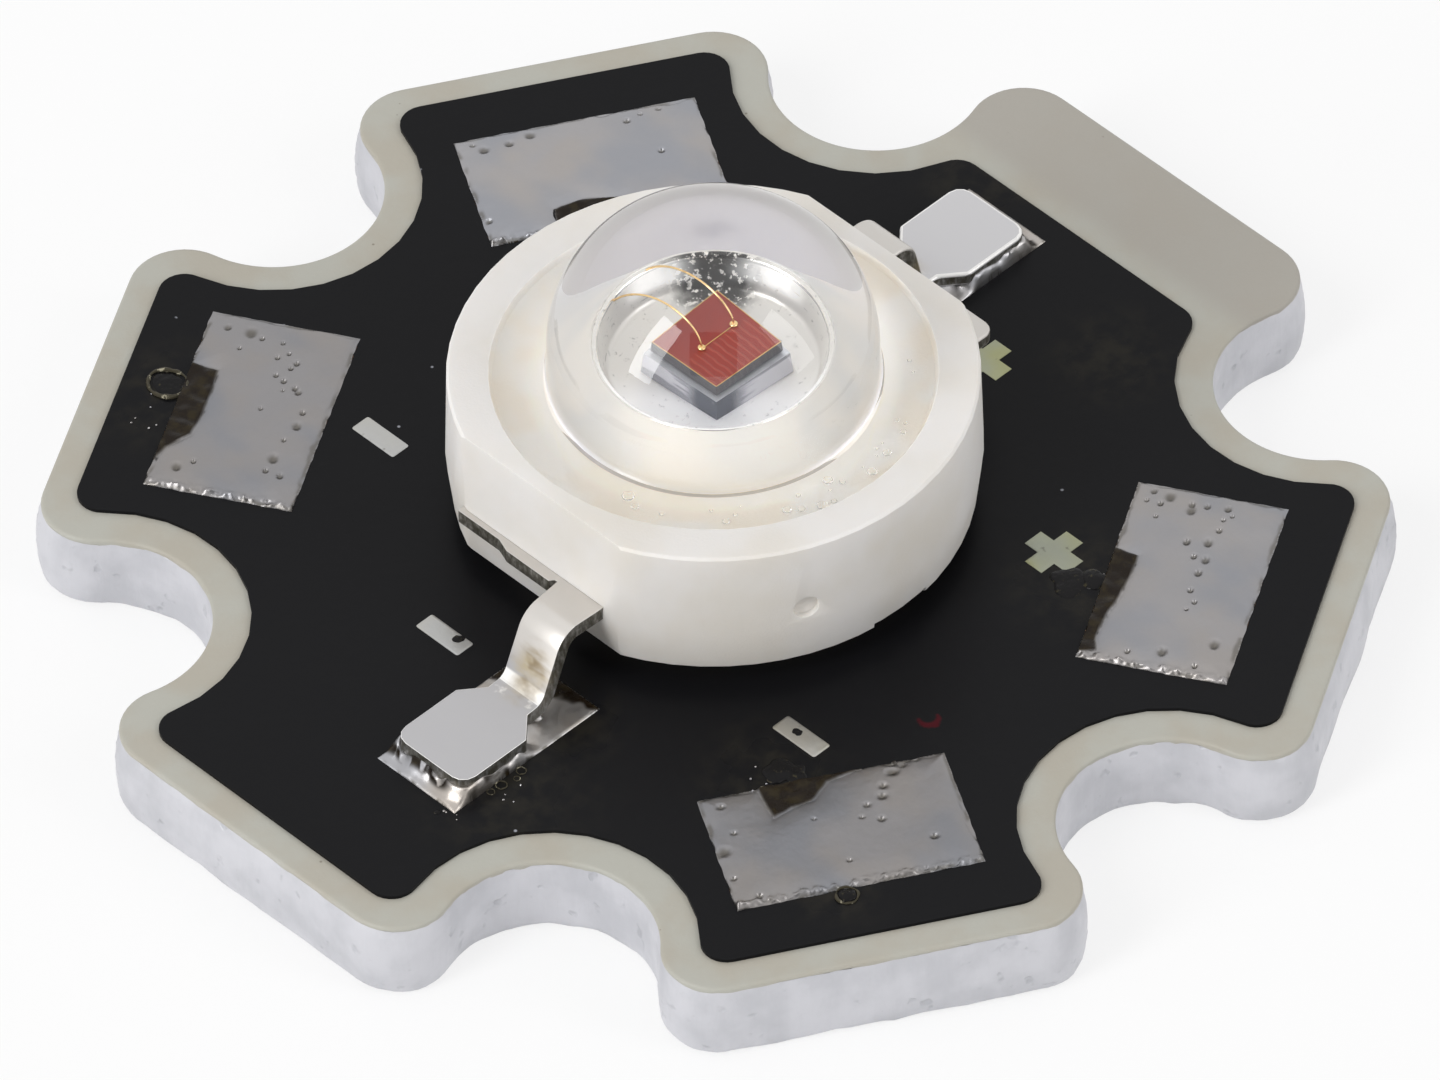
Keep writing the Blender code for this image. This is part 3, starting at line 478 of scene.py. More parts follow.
class Shader:
    """A node tree and the few kinds of node that the finishes are made of."""

    def __init__(self, name: str, owner: bpy.types.World | None = None) -> None:
        """Makes a material, or takes a world, and empties its tree.

        Args:
            name: the material's name.
            owner: the world.
        """
        self.owner = owner or bpy.data.materials.new(name)
        self.owner.use_nodes = True
        self.tree = self.owner.node_tree
        self.tree.nodes.clear()
        if owner is None:
            place = self.node("ShaderNodeTexCoord").outputs["Object"]
            scale = {"Vector": place, "Scale": (1 / MM, 1 / MM, 1 / MM)}
            self.place = self.node("ShaderNodeMapping", {}, scale).outputs[0]

    def node(self, kind: str, settings: Values | None = None, sockets: Values | None = None) -> Node:
        """Adds a node.

        Args:
            kind: its type.
            settings: its properties, set first.
            sockets: the value or the link of each input, by name or number.

        Returns:
            The node.
        """
        made = self.tree.nodes.new(kind)
        for name, value in (settings or {}).items():
            setattr(made, name, value)
        for key, value in (sockets or {}).items():
            value = value.socket if isinstance(value, Number) else value
            if isinstance(value, Socket):
                self.tree.links.new(value, made.inputs[key])
            else:
                made.inputs[key].default_value = value
        return made

    def number(self, kind: str, settings: Values, sockets: Values, output: int | str = 0) -> Number:
        """Adds a node and gives one of its outputs as a value for arithmetic."""
        return Number(self, self.node(kind, settings, sockets).outputs[output])

    def noise(
        self, scale: float, detail: float = 2.0, rough: float = 0.5, stretch: Point = (1, 1, 1)
    ) -> Number:
        """Soft noise round 0.5.

        Args:
            scale: its features to the millimetre.
            detail, rough: how many finer layers it has, and how strong they are.
            stretch: squeezes it along the axes.

        Returns:
            The noise.
        """
        place = self.node("ShaderNodeMapping", {}, {"Vector": self.place, "Scale": stretch}).outputs[0]
        sockets = {"Vector": place, "Scale": scale, "Detail": detail, "Roughness": rough}
        return self.number("ShaderNodeTexNoise", {}, sockets)

    def cells(self, scale: float) -> Number:
        """The distance to the nearest of scattered points, scale of them to the millimetre."""
        sockets = {"Vector": self.place, "Scale": scale, "Randomness": 1.0}
        return self.number("ShaderNodeTexVoronoi", {}, sockets, "Distance")

    def ramp(self, value: Number, low: float, high: float) -> Number:
        """0 at low and 1 at high, with a smooth run between them."""
        sockets = {0: value, 1: low, 2: high, 3: 0.0, 4: 1.0}
        return self.number("ShaderNodeMapRange", {"interpolation_type": "SMOOTHSTEP"}, sockets)

    def mix(self, mask: Any, first: Any, second: Any) -> Socket:
        """The first colour where the mask is 0 and the second where it is 1."""
        one, two = ((*colour, 1.0) if isinstance(colour, tuple) else colour for colour in (first, second))
        return self.node("ShaderNodeMix", {"data_type": "RGBA"}, {0: mask, 6: one, 7: two}).outputs[2]

    def axis(self, index: int) -> Number:
        """One coordinate in millimetres."""
        return self.number("ShaderNodeSeparateXYZ", {}, {0: self.place}, index)

    def from_axis(self) -> Number:
        """The distance from the upright axis in millimetres."""
        flat = self.node("ShaderNodeVectorMath", {"operation": "MULTIPLY"}, {0: self.place, 1: (1, 1, 0)})
        return self.number("ShaderNodeVectorMath", {"operation": "LENGTH"}, {0: flat.outputs[0]}, "Value")

    def near(
        self, point: Point, radius: float, soft: float, wobble: float = 0.0, scale: float = 4.0
    ) -> Number:
        """1 round a point and 0 beyond a radius.

        Args:
            point: the point in millimetres.
            radius: the radius in millimetres.
            soft: how far the edge fades to either side of it.
            wobble, scale: how far noise moves the edge, and how fine that noise is.

        Returns:
            The mask.
        """
        ends = {0: self.place, 1: point}
        distance = self.number("ShaderNodeVectorMath", {"operation": "DISTANCE"}, ends, "Value")
        if wobble:
            distance = distance + (self.noise(scale, 3) - 0.5) * wobble
        return 1 - self.ramp(distance, radius - soft, radius + soft)

    def near_any(self, points: tuple[Point, ...], *edge: float) -> Number:
        """The largest of near() over several points."""
        return reduce(Number.most, [self.near(point, *edge) for point in points])

    def mark(self, name: str) -> Number:
        """A named value of the mesh's points."""
        return self.number("ShaderNodeAttribute", {"attribute_name": name}, {}, "Fac")

    def level(self) -> Number:
        """How much the true surface looks up: 1 on a top, 0 on an upright side."""
        facing = self.node("ShaderNodeNewGeometry").outputs["True Normal"]
        return self.number("ShaderNodeSeparateXYZ", {}, {0: facing}, 2)

    def bump(self, height: Number, depth: float) -> Socket:
        """The normal of a relief: height 0 to 1 stands for a depth in metres."""
        sockets = {"Height": height, "Distance": depth, "Strength": 1.0}
        return self.node("ShaderNodeBump", {}, sockets).outputs[0]

    def surface(self, **sockets: Any) -> Socket:
        """A Principled shader.

        Args:
            sockets: its sockets, where _ stands for a space.

        Returns:
            The shader.
        """
        named = {name.replace("_", " "): value for name, value in sockets.items()}
        if isinstance(named["Base Color"], tuple):
            named["Base Color"] = (*named["Base Color"], 1.0)
        return self.node("ShaderNodeBsdfPrincipled", {}, named).outputs[0]

    def blend(self, mask: Number, first: Socket, second: Socket) -> Material:
        """The material of one shader where the mask is 0 and another where it is 1."""
        return self.done(self.node("ShaderNodeMixShader", {}, {0: mask, 1: first, 2: second}).outputs[0])

    def done(self, shader: Socket) -> Material:
        """Joins a shader to the output and gives the material."""
        self.node("ShaderNodeOutputMaterial", {}, {"Surface": shader})
        return self.owner

    def finish(self, **sockets: Any) -> Material:
        """The material of one Principled shader with the given sockets."""
        return self.done(self.surface(**sockets))


@dataclass(frozen=True)
class PunchedAluminium:
    """Bare sheared aluminium: pale, smooth, with faint upright scoring and a few dull dents."""

    colour: Colour = srgb(205, 205, 210)
    dull: Colour = srgb(178, 179, 184)

    def material(self) -> Material:
        """Makes the finish.

        Returns:
            The material.
        """
        s = Shader("punched_aluminium")
        cloud = s.ramp(s.noise(1.3, 4), 0.35, 0.7)
        scoring = s.noise(7.0, 3, 0.6, (1, 1, 0.12))
        dents = s.ramp(s.noise(3.2, 2), 0.63, 0.75)
        relief = scoring * 0.5 + s.noise(2.4, 3) * 0.8 - dents * 0.7
        return s.finish(
            Base_Color=s.mix(cloud * 0.5 + dents * 0.5, self.colour, self.dull),
            Metallic=0.35,
            Roughness=scoring * 0.3 + 0.35,
            Normal=s.bump(relief, 0.02 * MM),
        )


@dataclass(frozen=True)
class CreamDielectric:
    """The cream resin layer: matt, slightly mottled, with fine specks, and darker towards the end of the arm
    with the bare land.
    """

    colour: Colour = srgb(177, 176, 167)
    warm: Colour = srgb(174, 169, 157)
    darker_arm_end: Colour = srgb(165, 160, 152)
    speck: Colour = srgb(120, 112, 100)

    def material(self) -> Material:
        """Makes the finish.

        Returns:
            The material.
        """
        s = Shader("cream_resin")
        colour = s.mix(s.ramp(s.noise(0.9, 4), 0.35, 0.65), self.colour, self.warm)
        # Darker towards the end of the +X arm, over the bare land.
        colour = s.mix(s.ramp(s.axis(0), 8.0, 8.6) * 0.8, colour, self.darker_arm_end)
        specks = 1 - s.ramp(s.cells(2.2), 0.035, 0.06)
        sparse = s.ramp(s.noise(1.7, 2), 0.58, 0.62)
        grain = s.noise(16.0, 2)
        return s.finish(
            Base_Color=s.mix(specks * sparse * 0.7, colour, self.speck),
            Roughness=grain * 0.2 + 0.36,
            Specular_IOR_Level=0.35,
            Normal=s.bump(grain + s.noise(3.0, 3) * 2, 0.004 * MM),
        )


@dataclass(frozen=True)
class BlackMask:
    """The black lacquer: satin, with dust, faint brownish haze round the joints and one red fibre."""

    colour: Colour = srgb(19, 19, 21)
    haze: Colour = srgb(35, 33, 29)
    dust: Colour = srgb(150, 152, 160)
    red: Colour = srgb(66, 14, 22)
    hazes: tuple[Point, ...] = (
        (-6.6, -2.2, 1.1), (-5.0, -1.8, 0.7), (-4.4, 7.5, 0.9), (-3.6, -4.8, 0.9), (2.6, -5.2, 0.9),
        (7.6, 1.9, 0.7), (6.4, -2.2, 0.8), (-4.6, -7.2, 0.6),
    )

    def material(self, height: float) -> Material:
        """Makes the finish.

        Args:
            height: how high the lacquer's top lies, in millimetres.

        Returns:
            The material.
        """
        s = Shader("black_lacquer")
        mottle = s.noise(0.7, 4)
        specks = 1 - s.ramp(s.cells(1.15), 0.022, 0.04)
        sparse = s.ramp(s.noise(2.6, 2), 0.5, 0.56)
        hazes = [s.near((x, y, height), radius, radius * 0.8, 0.5, 2.0) for x, y, radius in self.hazes]
        haze = reduce(Number.most, hazes)
        ring = s.near((-1.07, -5.66, height), 0.17, 0.03, 0.12, 9.0)
        fibre = ring - s.near((-1.04, -5.58, height), 0.13, 0.03)
        colour = s.mix(haze * s.ramp(s.noise(3.0, 4), 0.35, 0.7), self.colour, self.haze)
        colour = s.mix(fibre.most(0.0), colour, self.red)
        return s.finish(
            Base_Color=s.mix(specks * sparse, colour, self.dust),
            Roughness=mottle * 0.16 + (0.26 + haze * -0.1),
            Specular_IOR_Level=0.09,
            Normal=s.bump(mottle + s.noise(5.0, 3) * 0.5, 0.006 * MM),
        )


@dataclass(frozen=True)
class Tin:
    """Solder and tinned copper: cool clouded grey, darkened by soil and, in its pits, by painted shade, and
    brown flux where it is marked.
    """

    name: str = "tin"
    colour: Colour = srgb(150, 148, 149)
    warm: Colour = srgb(152, 148, 146)
    blue: Colour = srgb(138, 140, 146)
    soil_and_pit_shade: Colour = srgb(92, 88, 80)
    flux: Colour = srgb(24, 16, 7)
    flux_edge: Colour = srgb(50, 42, 22)
    roughness: float = 0.34
    marked: bool = True

    def material(self) -> Material:
        """Makes the finish.

        Returns:
            The material.
        """
        s = Shader(self.name)
        cloud = s.ramp(s.noise(0.9, 3), 0.4, 0.62)
        tone = s.ramp(s.noise(0.75, 2, 0.5, (1, 0.8, 1)), 0.42, 0.66)
        grain = s.noise(9.0, 4)
        colour = s.mix(tone * 0.8, s.mix(cloud, self.colour, self.warm), self.blue)
        # The marked darkening is soil along the edges of the solder and painted shade in its pits; unmarked
        # tin gets random soil.
        soil_and_pit_shade = s.mark("soil_and_pit_shade") if self.marked else s.ramp(s.noise(4.0, 3), 0.66, 0.74)
        metal = s.surface(
            Base_Color=s.mix(soil_and_pit_shade * 0.85, colour, self.soil_and_pit_shade),
            Metallic=1.0,
            Roughness=grain * 0.22 + (self.roughness - 0.1),
            Normal=s.bump(s.noise(2.2, 3) * 2 + grain * 0.4, 0.008 * MM),
        )
        if not self.marked:
            return s.done(metal)
        resin = s.surface(
            Base_Color=s.mix(s.ramp(s.noise(5.0, 4), 0.45, 0.7) * 0.6, self.flux, self.flux_edge),
            Roughness=0.22,
            Specular_IOR_Level=0.16,
            Normal=s.bump(s.noise(4.0, 3), 0.02 * MM),
        )
        return s.blend(s.mark("flux"), metal, resin)


@dataclass(frozen=True)
class TinnedLead:
    """Tin-plated lead frame: flat grey on the faces, darker where it was sheared, brown flux on the slope,
    and painted highlights: paler higher up and a bright line along the rounded edges of the foot.
    """

    cathode: Colour = srgb(183, 182, 184)
    anode: Colour = srgb(201, 200, 202)
    # upper and rise: the paler colour of the painted highlight higher up, and the heights in mm over which it
    # comes in.
    upper: Colour = srgb(208, 204, 199)
    sheared: Colour = srgb(84, 81, 70)
    rise: Pair = (2.0, 2.5)
    flux: Colour = srgb(176, 158, 118)
    char: Colour = srgb(112, 92, 60)
    # bright: white wet solder at the foot, and the painted highlight on the rounded edges of the foot.
    bright: Colour = (0.97, 0.96, 0.94)
    flux_places: tuple[Point, ...] = ((-5.2, -1.12, 2.28), (5.2, 1.12, 2.28))
    wet_places: tuple[Point, ...] = (
        (-5.42, -0.86, 2.02), (-5.36, -1.36, 2.02), (5.4, 0.9, 2.02), (5.4, 1.4, 2.02),
    )

    def material(self) -> Material:
        """Makes the finish.

        Returns:
            The material.
        """
        s = Shader("tinned_lead_frame")
        level = s.level()
        side = 1 - s.ramp(abs(level), 0.04, 0.3)
        drag = s.noise(13.0, 4, 0.6, (1, 1, 0.45))
        cloud = s.noise(1.6, 3)
        stain = s.near_any(self.flux_places, 0.36, 0.25, 0.3, 3.5)
        stain = stain * s.ramp(s.noise(3.0, 2, 0.5, (1.6, 0.5, 1.6)), 0.25, 0.55)
        burnt = stain * s.ramp(s.noise(4.0, 2, 0.5, (1, 0.5, 1)), 0.45, 0.6) * 0.8
        wet = s.near_any(self.wet_places, 0.12, 0.06, 0.35, 7.0)
        # Painted highlight: the rounded edges of the foot are drawn bright.
        edge = s.ramp(level, 0.2, 0.4) * (1 - s.ramp(level, 0.955, 0.985))
        edge = edge * (1 - s.ramp(s.axis(2), 1.98, 2.02))
        foot = s.mix(s.ramp(s.axis(0), -1.0, 1.0), self.cathode, self.anode)
        # Painted highlight: the lead turns paler higher up, over the slope and the upper flat.
        face = s.mix(s.ramp(s.axis(2), *self.rise), foot, self.upper)
        face = s.mix(wet.most(edge), face, self.bright)
        colour = s.mix(side * s.ramp(drag, 0.0, 0.66), face, self.sheared)
        return s.finish(
            Base_Color=s.mix(burnt, s.mix(stain * 0.9, colour, self.flux), self.char),
            Metallic=0.6 - stain.most(edge) * 0.4,
            Roughness=cloud * 0.15 + side * 0.1 + 0.24,
            Normal=s.bump(cloud * 1.5 + drag * side, 0.006 * MM),
        )


@dataclass(frozen=True)
class WhiteMoulding:
    """The moulded body: white thermoplastic with a soft sheen and light showing a little way into it.

    Inside the bore, where clear resin wets it, a faint emission stands in for the light that scatters there
    many times. It differs between the shallow seat, the deep well and the ring at the dome's foot, and from
    front to back.
    """

    colour: Colour = srgb(229, 226, 223)
    warm: Colour = srgb(222, 217, 209)
    wetted: Colour = (0.93, 0.925, 0.915)
    yellowed: Colour = (0.92, 0.87, 0.8)
    lit: Colour = (0.065, 0.052, 0.03)
    far_lit: Colour = (0.065, 0.052, 0.03)
    front_lit: Colour = (0.255, 0.24, 0.21)
    back_lit: Colour = (0.42, 0.44, 0.54)
    fade: Pair = (0.5, 1.9)
    foot_lit: Colour = (0.15, 0.13, 0.085)
    foot: float = 2.58
    name: str = "white_moulding"
    bore: float = 3.41
    well: float = 2.86

    def material(self) -> Material:
        """Makes the finish.

        Returns:
            The material.
        """
        s = Shader(self.name)
        reach = s.from_axis()
        inside = 1 - s.ramp(reach, self.bore - 0.01, self.bore + 0.01)
        depth = 1 - s.ramp(s.axis(2), self.well + 0.2, self.well + 1.0)
        back = s.ramp((s.axis(0) + s.axis(1)) * 0.7, *self.fade)
        round_foot = 1 - s.ramp(abs(reach - self.foot), 0.05, 0.35)
        shallow = s.mix(round_foot, s.mix(back, self.lit, self.far_lit), self.foot_lit)
        deep = s.mix(back, self.front_lit, self.back_lit)
        resin = s.mix(s.ramp(s.noise(0.7, 2), 0.42, 0.62), self.wetted, self.yellowed)
        cloud = s.ramp(s.noise(0.5, 3), 0.35, 0.7)
        grain = s.noise(22.0, 2)
        return s.finish(
            Base_Color=s.mix(inside, s.mix(cloud, self.colour, self.warm), resin),
            Roughness=grain * 0.12 + 0.38,
            Specular_IOR_Level=0.4,
            Subsurface_Weight=0.25,
            Subsurface_Radius=(0.9, 0.8, 0.7),
            Subsurface_Scale=0.35 * MM,
            Emission_Color=s.mix(inside, (0.0, 0.0, 0.0), s.mix(depth, shallow, deep)),
            Emission_Strength=1.0,
            Normal=s.bump(grain + s.noise(2.0, 2) * 2, 0.003 * MM),
        )


@dataclass(frozen=True)
class ClearResin:
    """Clear optical resin, with the faint waviness of a moulded lens."""

    name: str = "clear_resin"
    colour: Colour = (1.0, 1.0, 1.0)
    ior: float = 1.5
    wave: float = 0.0015

    def material(self) -> Material:
        """Makes the finish.

        Returns:
            The material.
        """
        s = Shader(self.name)
        return s.finish(
            Base_Color=self.colour,
            Roughness=0.0,
            IOR=self.ior,
            Transmission_Weight=1.0,
            Normal=s.bump(s.noise(0.9, 2), self.wave * MM),
        )


@dataclass(frozen=True)
class SilverPlate:
    """The slug's silver plating: bright, with fine turning marks, small dark pits and a painted dark
    reflection on the far wall of the cup.

    A faint emission stands in for the bright surroundings that the wall and the floor of the cup mirror.
    """

    colour: Colour = srgb(232, 229, 224)
    tarnish: Colour = srgb(120, 116, 110)
    dark_reflection_colour: Colour = srgb(74, 73, 72)
    caught: Colour = (0.5, 0.5, 0.5)
    floor_lit: Colour = (0.2, 0.21, 0.24)
    dark_reflection_place: Point = (0.8, 0.8, 4.44)
    dark_reflection_reach: float = 0.4
    caught_places: tuple[Point, ...] = ((0.36, 1.08, 4.47), (1.08, 0.36, 4.47))
    rim: float = 4.55

    def material(self) -> Material:
        """Makes the finish.

        Returns:
            The material.
        """
        s = Shader("silver_plate")
        pits = s.ramp(s.noise(11.0, 4, 0.7), 0.6, 0.7)
        # Painted reflection: the dark that the far wall of the cup mirrors, drawn as a black base colour
        # broken by noise.
        dark = s.near(self.dark_reflection_place, self.dark_reflection_reach, 0.12, 0.3, 5.0)
        dark = dark * (1 - s.ramp(s.noise(14.0, 4, 0.7), 0.56, 0.6))
        turning = s.noise(14.0, 3, 0.6, (0.3, 0.3, 3.0))
        height = s.axis(2)
        flat = s.ramp(s.level(), 0.75, 0.95)
        rim = s.ramp(height, self.rim - 0.03, self.rim - 0.01)
        # Painted reflections: emission on the upper back wall and on flat faces at the front stands in for
        # the bright surroundings mirrored there.
        caught = s.near_any(self.caught_places, 0.3, 0.16, 0.12, 6.0)
        caught = caught * (1 - flat) * s.ramp(height, self.rim - 0.2, self.rim - 0.12)
        front = flat * (1 - s.ramp((s.axis(0) + s.axis(1)) * 0.7, -0.55, 0.1))
        return s.finish(
            Base_Color=s.mix(dark, s.mix(pits * 0.5, self.colour, self.tarnish), self.dark_reflection_colour),
            Metallic=rim * 0.6 + 0.4,
            Roughness=turning * 0.1 + flat * 0.14 + (0.24 - rim * 0.16),
            Emission_Color=s.mix(front, s.mix(caught, (0.0, 0.0, 0.0), self.caught), self.floor_lit),
            Emission_Strength=1.0,
            Normal=s.bump(turning * 0.4 + s.noise(5.0, 3), 0.004 * MM),
        )


@dataclass(frozen=True)
class RedDie:
    """The red chip: glossy, with the fine fingers of its contact on one half."""

    colour: Colour = srgb(150, 44, 30)
    deep: Colour = srgb(140, 38, 26)
    finger: Colour = srgb(170, 76, 60)
    side: Colour = srgb(74, 72, 78)
    pitch: float = 0.085

    def material(self) -> Material:
        """Makes the finish.

        Returns:
            The material.
        """
        s = Shader("red_chip")
        wave = (s.axis(0) + (s.noise(6.0, 2) - 0.5) * 0.06) * (2 * np.pi / self.pitch)
        fingers = s.ramp(wave.sine(), 0.35, 0.8) * (1 - s.ramp(s.axis(1), 0.0, 0.05))
        body = s.mix(s.ramp(s.axis(1), -0.1, 0.3), self.colour, self.deep)
        top = s.mix(fingers * 0.7, body, self.finger)
        return s.finish(
            Base_Color=s.mix(s.ramp(s.level(), 0.3, 0.7), self.side, top),
            Roughness=0.35,
            Coat_Weight=0.2,
            Normal=s.bump(fingers, 0.004 * MM),
        )


@dataclass(frozen=True)
class Submount:
    """The silicon carrier of the chip: pale and bright on top, with painted shade at the front corner of its
    sides.
    """

    top: Colour = srgb(214, 216, 222)
    side: Colour = srgb(200, 200, 208)
    shade: Colour = srgb(84, 88, 100)
    corner: Point = (-0.475, -0.475, 4.42)

    def material(self) -> Material:
        """Makes the finish.

        Returns:
            The material.
        """
        s = Shader("submount_metal")
        saw_marks_and_shade = s.ramp(s.noise(1.1, 2, 0.5, (1, 1, 9.0)), 0.5, 0.6) * 0.6
        # Painted shade darkens the front corner of the sides, over darker streaks from sawing.
        saw_marks_and_shade = s.near(self.corner, 0.36, 0.14, 0.15, 6.0).most(saw_marks_and_shade)
        colour = s.mix(s.ramp(s.level(), 0.3, 0.7), s.mix(saw_marks_and_shade, self.side, self.shade), self.top)
        return s.finish(Base_Color=colour, Metallic=0.35, Roughness=s.noise(9.0, 3) * 0.1 + 0.2)


@dataclass(frozen=True)
class PlainMetal:
    """A small metal part with a slightly uneven polish."""

    name: str
    colour: Colour
    dark: Colour
    roughness: float

    def material(self) -> Material:
        """Makes the finish.

        Returns:
            The material.
        """
        s = Shader(self.name)
        grain = s.noise(12.0, 3)
        return s.finish(
            Base_Color=s.mix(s.ramp(grain, 0.5, 0.75) * 0.6, self.colour, self.dark),
            Metallic=1.0,
            Roughness=grain * 0.12 + (self.roughness - 0.06),
            Normal=s.bump(grain, 0.003 * MM),
        )


@dataclass(frozen=True)
class FluxResin:
    """Dried flux: dark brown glass with a few paler veins."""

    name: str = "dried_flux"
    colour: Colour = srgb(20, 19, 20)
    vein: Colour = srgb(58, 54, 40)

    def material(self) -> Material:
        """Makes the finish.

        Returns:
            The material.
        """
        s = Shader(self.name)
        veins = s.ramp(s.noise(9.0, 4, 0.6), 0.58, 0.68)
        return s.finish(
            Base_Color=s.mix(veins, self.colour, self.vein),
            Roughness=0.2,
            Specular_IOR_Level=0.12,
            Normal=s.bump(s.noise(7.0, 3), 0.02 * MM),
        )


# The board


@dataclass
class StarBoard:
    """The punched core, its cream layer, the black lacquer and the marks on it."""

    flat: float = 9.95 * MM
    notch_centre: float = 9.62 * MM
    notch_radius: float = 1.7 * MM
    corner: float = 0.85 * MM
    arms: int = 6
    bulge: float = 0.1 * MM
    roll: float = 0.16 * MM
    roll_end: float = 0.12
    mark_width: float = 0.35 * MM
    mark_length: float = 0.9 * MM
    minus_places: tuple[Pair, ...] = ((-2.68, 4.55), (-4.95, 0.83), (-2.68, -4.52))
    plus_places: tuple[Pair, ...] = ((2.77, -4.5), (4.95, -0.83), (2.68, 4.52))

    def outline(self) -> Array:
        """The board's outline: on each arm half a notch, a corner, the flat end, a corner and half a notch.

        Returns:
            Its points, anticlockwise.
        """
        half = np.pi / self.arms
        notch = (self.notch_centre * np.cos(half), self.notch_centre * np.sin(half))
        x = self.flat - self.corner
        y = notch[1] - np.sqrt((self.notch_radius + self.corner) ** 2 - (x - notch[0]) ** 2)
        meet = np.arctan2(notch[1] - y, notch[0] - x)
        upper = arc((x, y), self.corner, 0, meet, 14)
        upper = np.concatenate([upper, arc(notch, self.notch_radius, meet - np.pi, half - np.pi, 26)[1:]])
        end = np.stack([np.full(20, self.flat), np.linspace(-y, y, 22)[1:-1]], 1)
        arm = np.concatenate([(upper * [1, -1])[::-1], end, upper[:-1]])
        return np.concatenate([turned(arm, 360 * i / self.arms) for i in range(self.arms)])

    def build(self) -> None:
        """Makes and dresses the board."""
        self.core()
        self.resin()
        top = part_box("solder_mask")[1].z
        dress("solder_mask", BlackMask().material(top / MM))
        copper = PlainMetal("copper_land", srgb(190, 150, 120), srgb(120, 90, 70), 0.3).material()
        for node in ("anode_foil", "cathode_foil", "thermal_foil"):
            dress(node, copper)
        self.marks(top)

    def core(self) -> None:
        """The sheared core, at heights t from 0 at its foot to 1 at its top.

        Its side swells by bulge * sin(pi t)^0.7 and rolls in at the foot like a quarter circle.
        """
        outline = self.outline()
        x, y = outline.T
        low, high = (corner.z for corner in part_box("aluminium_base"))
        swell = 0.25 + 0.75 * smooth_step(np.linalg.norm(outline, axis=1), 8.3 * MM, 10.1 * MM)
        swell = swell * (1 + 0.35 * ripple(x, y, 3, 1.6 * MM))
        levels = []
        for t in np.concatenate([np.linspace(0, self.roll_end, 6), np.linspace(0.16, 1, 15)]):
            rolled = self.roll * (1 - np.sqrt(1 - (1 - min(t / self.roll_end, 1)) ** 2))
            rolled = rolled * (0.7 + 0.5 * ripple(x, y, 5, 0.9 * MM))
            torn = 0.008 * MM * ripple(x + 3 * t * MM, y, 7, 0.35 * MM)
            swollen = self.bulge * swell * np.sin(np.pi * t) ** 0.7
            levels.append((-(swollen - rolled + torn), low + (high - low) * t))
        shell = Shell("punched_core").stack(outline, levels)
        shell.piece(PunchedAluminium().material(), "aluminium", ("aluminium_base",), sharp=60)

    def resin(self) -> None:
        """The cream layer, whose lower edge is torn where the punch went through."""
        outline = self.outline()
        x, y = outline.T
        low, high = (corner.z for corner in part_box("dielectric_layer"))
        torn = 0.035 * MM * (0.6 + ripple(x, y, 11, 0.5 * MM) + 0.5 * ripple(x, y, 12, 0.2 * MM))
        lip = 0.012 * MM
        rise = high - low
        levels = [(-lip * 0.2, -torn), (-lip, 0.1 * rise), (-lip, 0.55 * rise), (-0.2 * lip, 0.85 * rise)]
        levels += [(0.025 * MM, 0.97 * rise), (0.06 * MM, rise)]
        shell = Shell("cream_layer").stack(outline, [(inset, low + height) for inset, height in levels])
        shell.piece(CreamDielectric().material(), "cream_dielectric", ("dielectric_layer",), sharp=50)

    def marks(self, top: float) -> None:
        """The tinned minus and plus marks, low pillows of tin in the lacquer.

        Args:
            top: the height of the lacquer.
        """
        bright = Tin("minus_tin", srgb(184, 182, 175), srgb(180, 178, 166), srgb(176, 177, 178), marked=False)
        dim = Tin("plus_tin", srgb(149, 152, 134), srgb(152, 153, 118), srgb(143, 146, 138), marked=False)
        pillow = ((-0.004, -0.01), (0.0, 0.006), (0.02, 0.012), (0.03, 0.014))
        levels = [(inset * MM, top + height * MM) for inset, height in pillow]
        bar = rectangle(self.mark_width, self.mark_length, 0.035 * MM)
        w, a = self.mark_width / 2, self.mark_length / 2
        cross = np.array([(a, -w), (a, w), (w, w), (w, a), (-w, a), (-w, w)])
        cross = np.concatenate([cross, -cross])
        kinds = (("minus", bar, self.minus_places, bright), ("plus", cross, self.plus_places, dim))
        for sign, outline, places, tin in kinds:
            finish = tin.material()
            for i, place in enumerate(places):
                shell = Shell(f"{sign}_mark_{i + 1}").stack(outline + np.array(place) * MM, levels)
                shell.piece(finish, "tin_solder")


class Edge(Enum):
    """The long edge of a wire pad that the solder drew back from: towards the board's rim or its middle."""

    RIM = 1
    MIDDLE = -1


